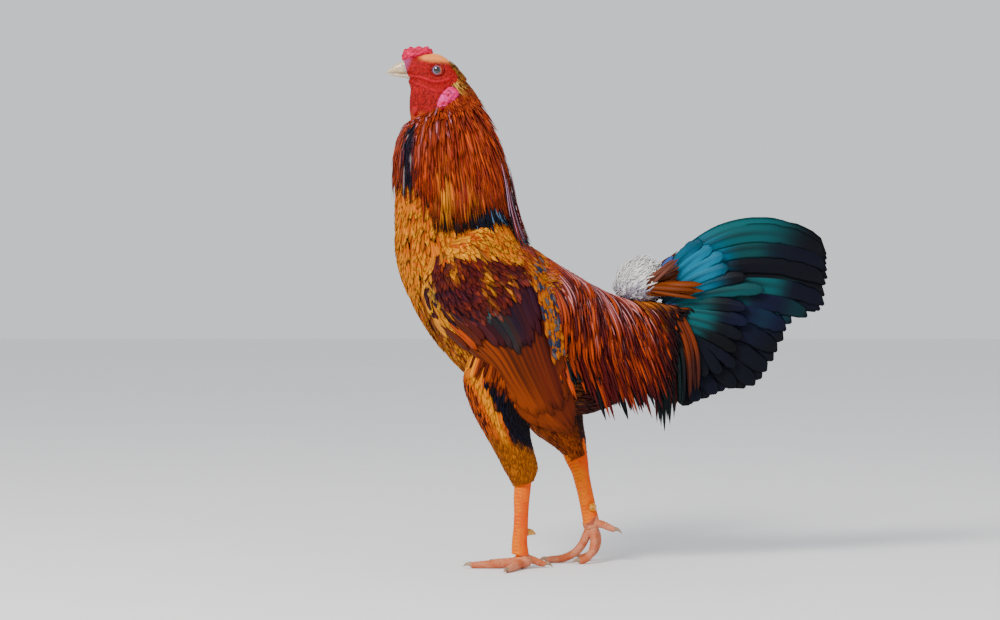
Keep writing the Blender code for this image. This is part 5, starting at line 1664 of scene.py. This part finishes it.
# Finishes.
cape_finish = feather_finish("hackle_vanes", 26.0, 0.00012, 0.42, 0.12)
breast_finish = feather_finish("breast_vanes", 14.0, 0.0001, 0.6)
wing_finish = feather_finish("wing_vanes", 30.0, 0.00015, 0.5, 0.08, 0.15)
drape_finish = feather_finish("saddle_vanes", 26.0, 0.00012, 0.42, 0.12)
tail_finish = feather_finish("tail_vanes", 60.0, 0.00015, 0.4, 0.1, 0.2)
leg_down_finish = feather_finish("thigh_vanes", 12.0, 0.0001, 0.6)
down_finish = feather_finish("down_vanes", 12.0, 0.00008, 0.75)
bare_finish = skin_finish()
comb_finish = flesh_finish("comb_flesh_skin", linear(212, 0, 92), linear(120, 0, 40), linear(236, 60, 128), 330.0)
wattle_finish = flesh_finish("wattle_flesh_skin", linear(166, 0, 26), linear(96, 0, 12), linear(206, 44, 70), 330.0)
lobe_finish = flesh_finish("lobe_flesh_skin", linear(220, 12, 112), linear(140, 2, 56), linear(228, 110, 184), 300.0)
lid_finish = flesh_finish("lid_skin", linear(120, 26, 24), linear(70, 12, 14), linear(170, 60, 50), 500.0, 0.35)
bill_finish = horn_finish("bill_horn_sheath", linear(222, 206, 178), linear(176, 150, 122), linear(132, 118, 138))
claw_finish = horn_finish(
    "claw_horn_sheath", linear(176, 152, 128), linear(120, 92, 74), linear(90, 70, 60), "z", 0.0, -0.1
)
spur_finish = horn_finish(
    "spur_horn_sheath", linear(222, 172, 72), linear(180, 110, 36), linear(150, 90, 40), "z", 0.0, -0.1
)
leg_finish = scale_finish()
gloss_finish = eye_finish()

# The bird.
hackle(cape_finish)
nape(cape_finish)
saddle(drape_finish)
tail(tail_finish)
rump_tuft(down_finish)
for name, side in (("left", 1), ("right", -1)):
    body_coat(name, side, breast_finish)
    wing(name, side, wing_finish)
    thigh_coat(name, side, leg_down_finish)
    leg(name, side, leg_finish)
    eye(name, side, gloss_finish)
    bead_ring(f"lid_{name}", EYE[[0, 2]], (7.0, 6.0), 1.15, side, lid_finish, "face_skin", level=14.4)
    pad(f"lobe_{name}", LOBE, 17.0, 5.5, side, lobe_finish, "lobe_skin", [f"earlobe_{name}"], fold=0.45)
    pad(f"wattle_{name}_flap", WATTLE, 10.5, 3.4, side, wattle_finish, "lobe_skin", [f"wattle_{name}"], fold=0.25)
    claws(name, claw_finish)
    spur(name, spur_finish)
skin(bare_finish)
comb(comb_finish)
bill(bill_finish)


def stage_piece(name, points, faces, finish):
    """Part of the studio, which isn't part of the bird."""
    mesh = bpy.data.meshes.new(name)
    mesh.from_pydata(points, [], faces)
    mesh.materials.append(finish)
    placed(name, mesh)


def aimed(name, data, place, aim):
    """A lamp or camera at a place, that looks at a point."""
    made = placed(name, data)
    made.location = place
    made.rotation_euler = (Vector(aim) - Vector(place)).to_track_quat("-Z", "Y").to_euler()
    return made


def lamp(name, place, aim, size, watts, colour=(1.0, 1.0, 1.0)):
    """A soft square light that looks at a point."""
    light = bpy.data.lights.new(name, "AREA")
    light.shape, light.size, light.energy, light.color = "SQUARE", size, watts, colour
    aimed(name, light, place, aim)


# The studio: a pale floor, a soft key from the upper left of the camera, and a weak fill.
floor_finish = Finish("studio_floor", Roughness=0.9)
mottle = floor_finish.noise(floor_finish.place(), 6.0)
floor_finish.give("Base Color", floor_finish.mix(mottle, (0.84,) * 3, (0.88,) * 3))
stage_piece("studio_floor", [(-9, -9, 0), (9, -9, 0), (9, 9, 0), (-9, 9, 0)], [(0, 1, 2, 3)], floor_finish.material)
world = bpy.data.worlds.new("studio")
world.use_nodes = True
world.node_tree.nodes["Background"].inputs["Color"].default_value = (0.93, 0.95, 1.0, 1.0)
world.node_tree.nodes["Background"].inputs["Strength"].default_value = 0.9
bpy.context.scene.world = world
lamp("key", (-1.6, -2.2, 2.4), (-0.05, 0, 0.32), 1.0, 140.0, (1.0, 0.97, 0.92))
lamp("fill", (2.2, -2.0, 1.2), (0, 0, 0.3), 1.6, 16.0)

camera = bpy.data.cameras.new("camera")
camera.lens, camera.sensor_width = 93.4, 36.0
bpy.context.scene.camera = aimed("camera", camera, (-0.125, -3.0, 0.35), (-0.125, 0, 0.296))
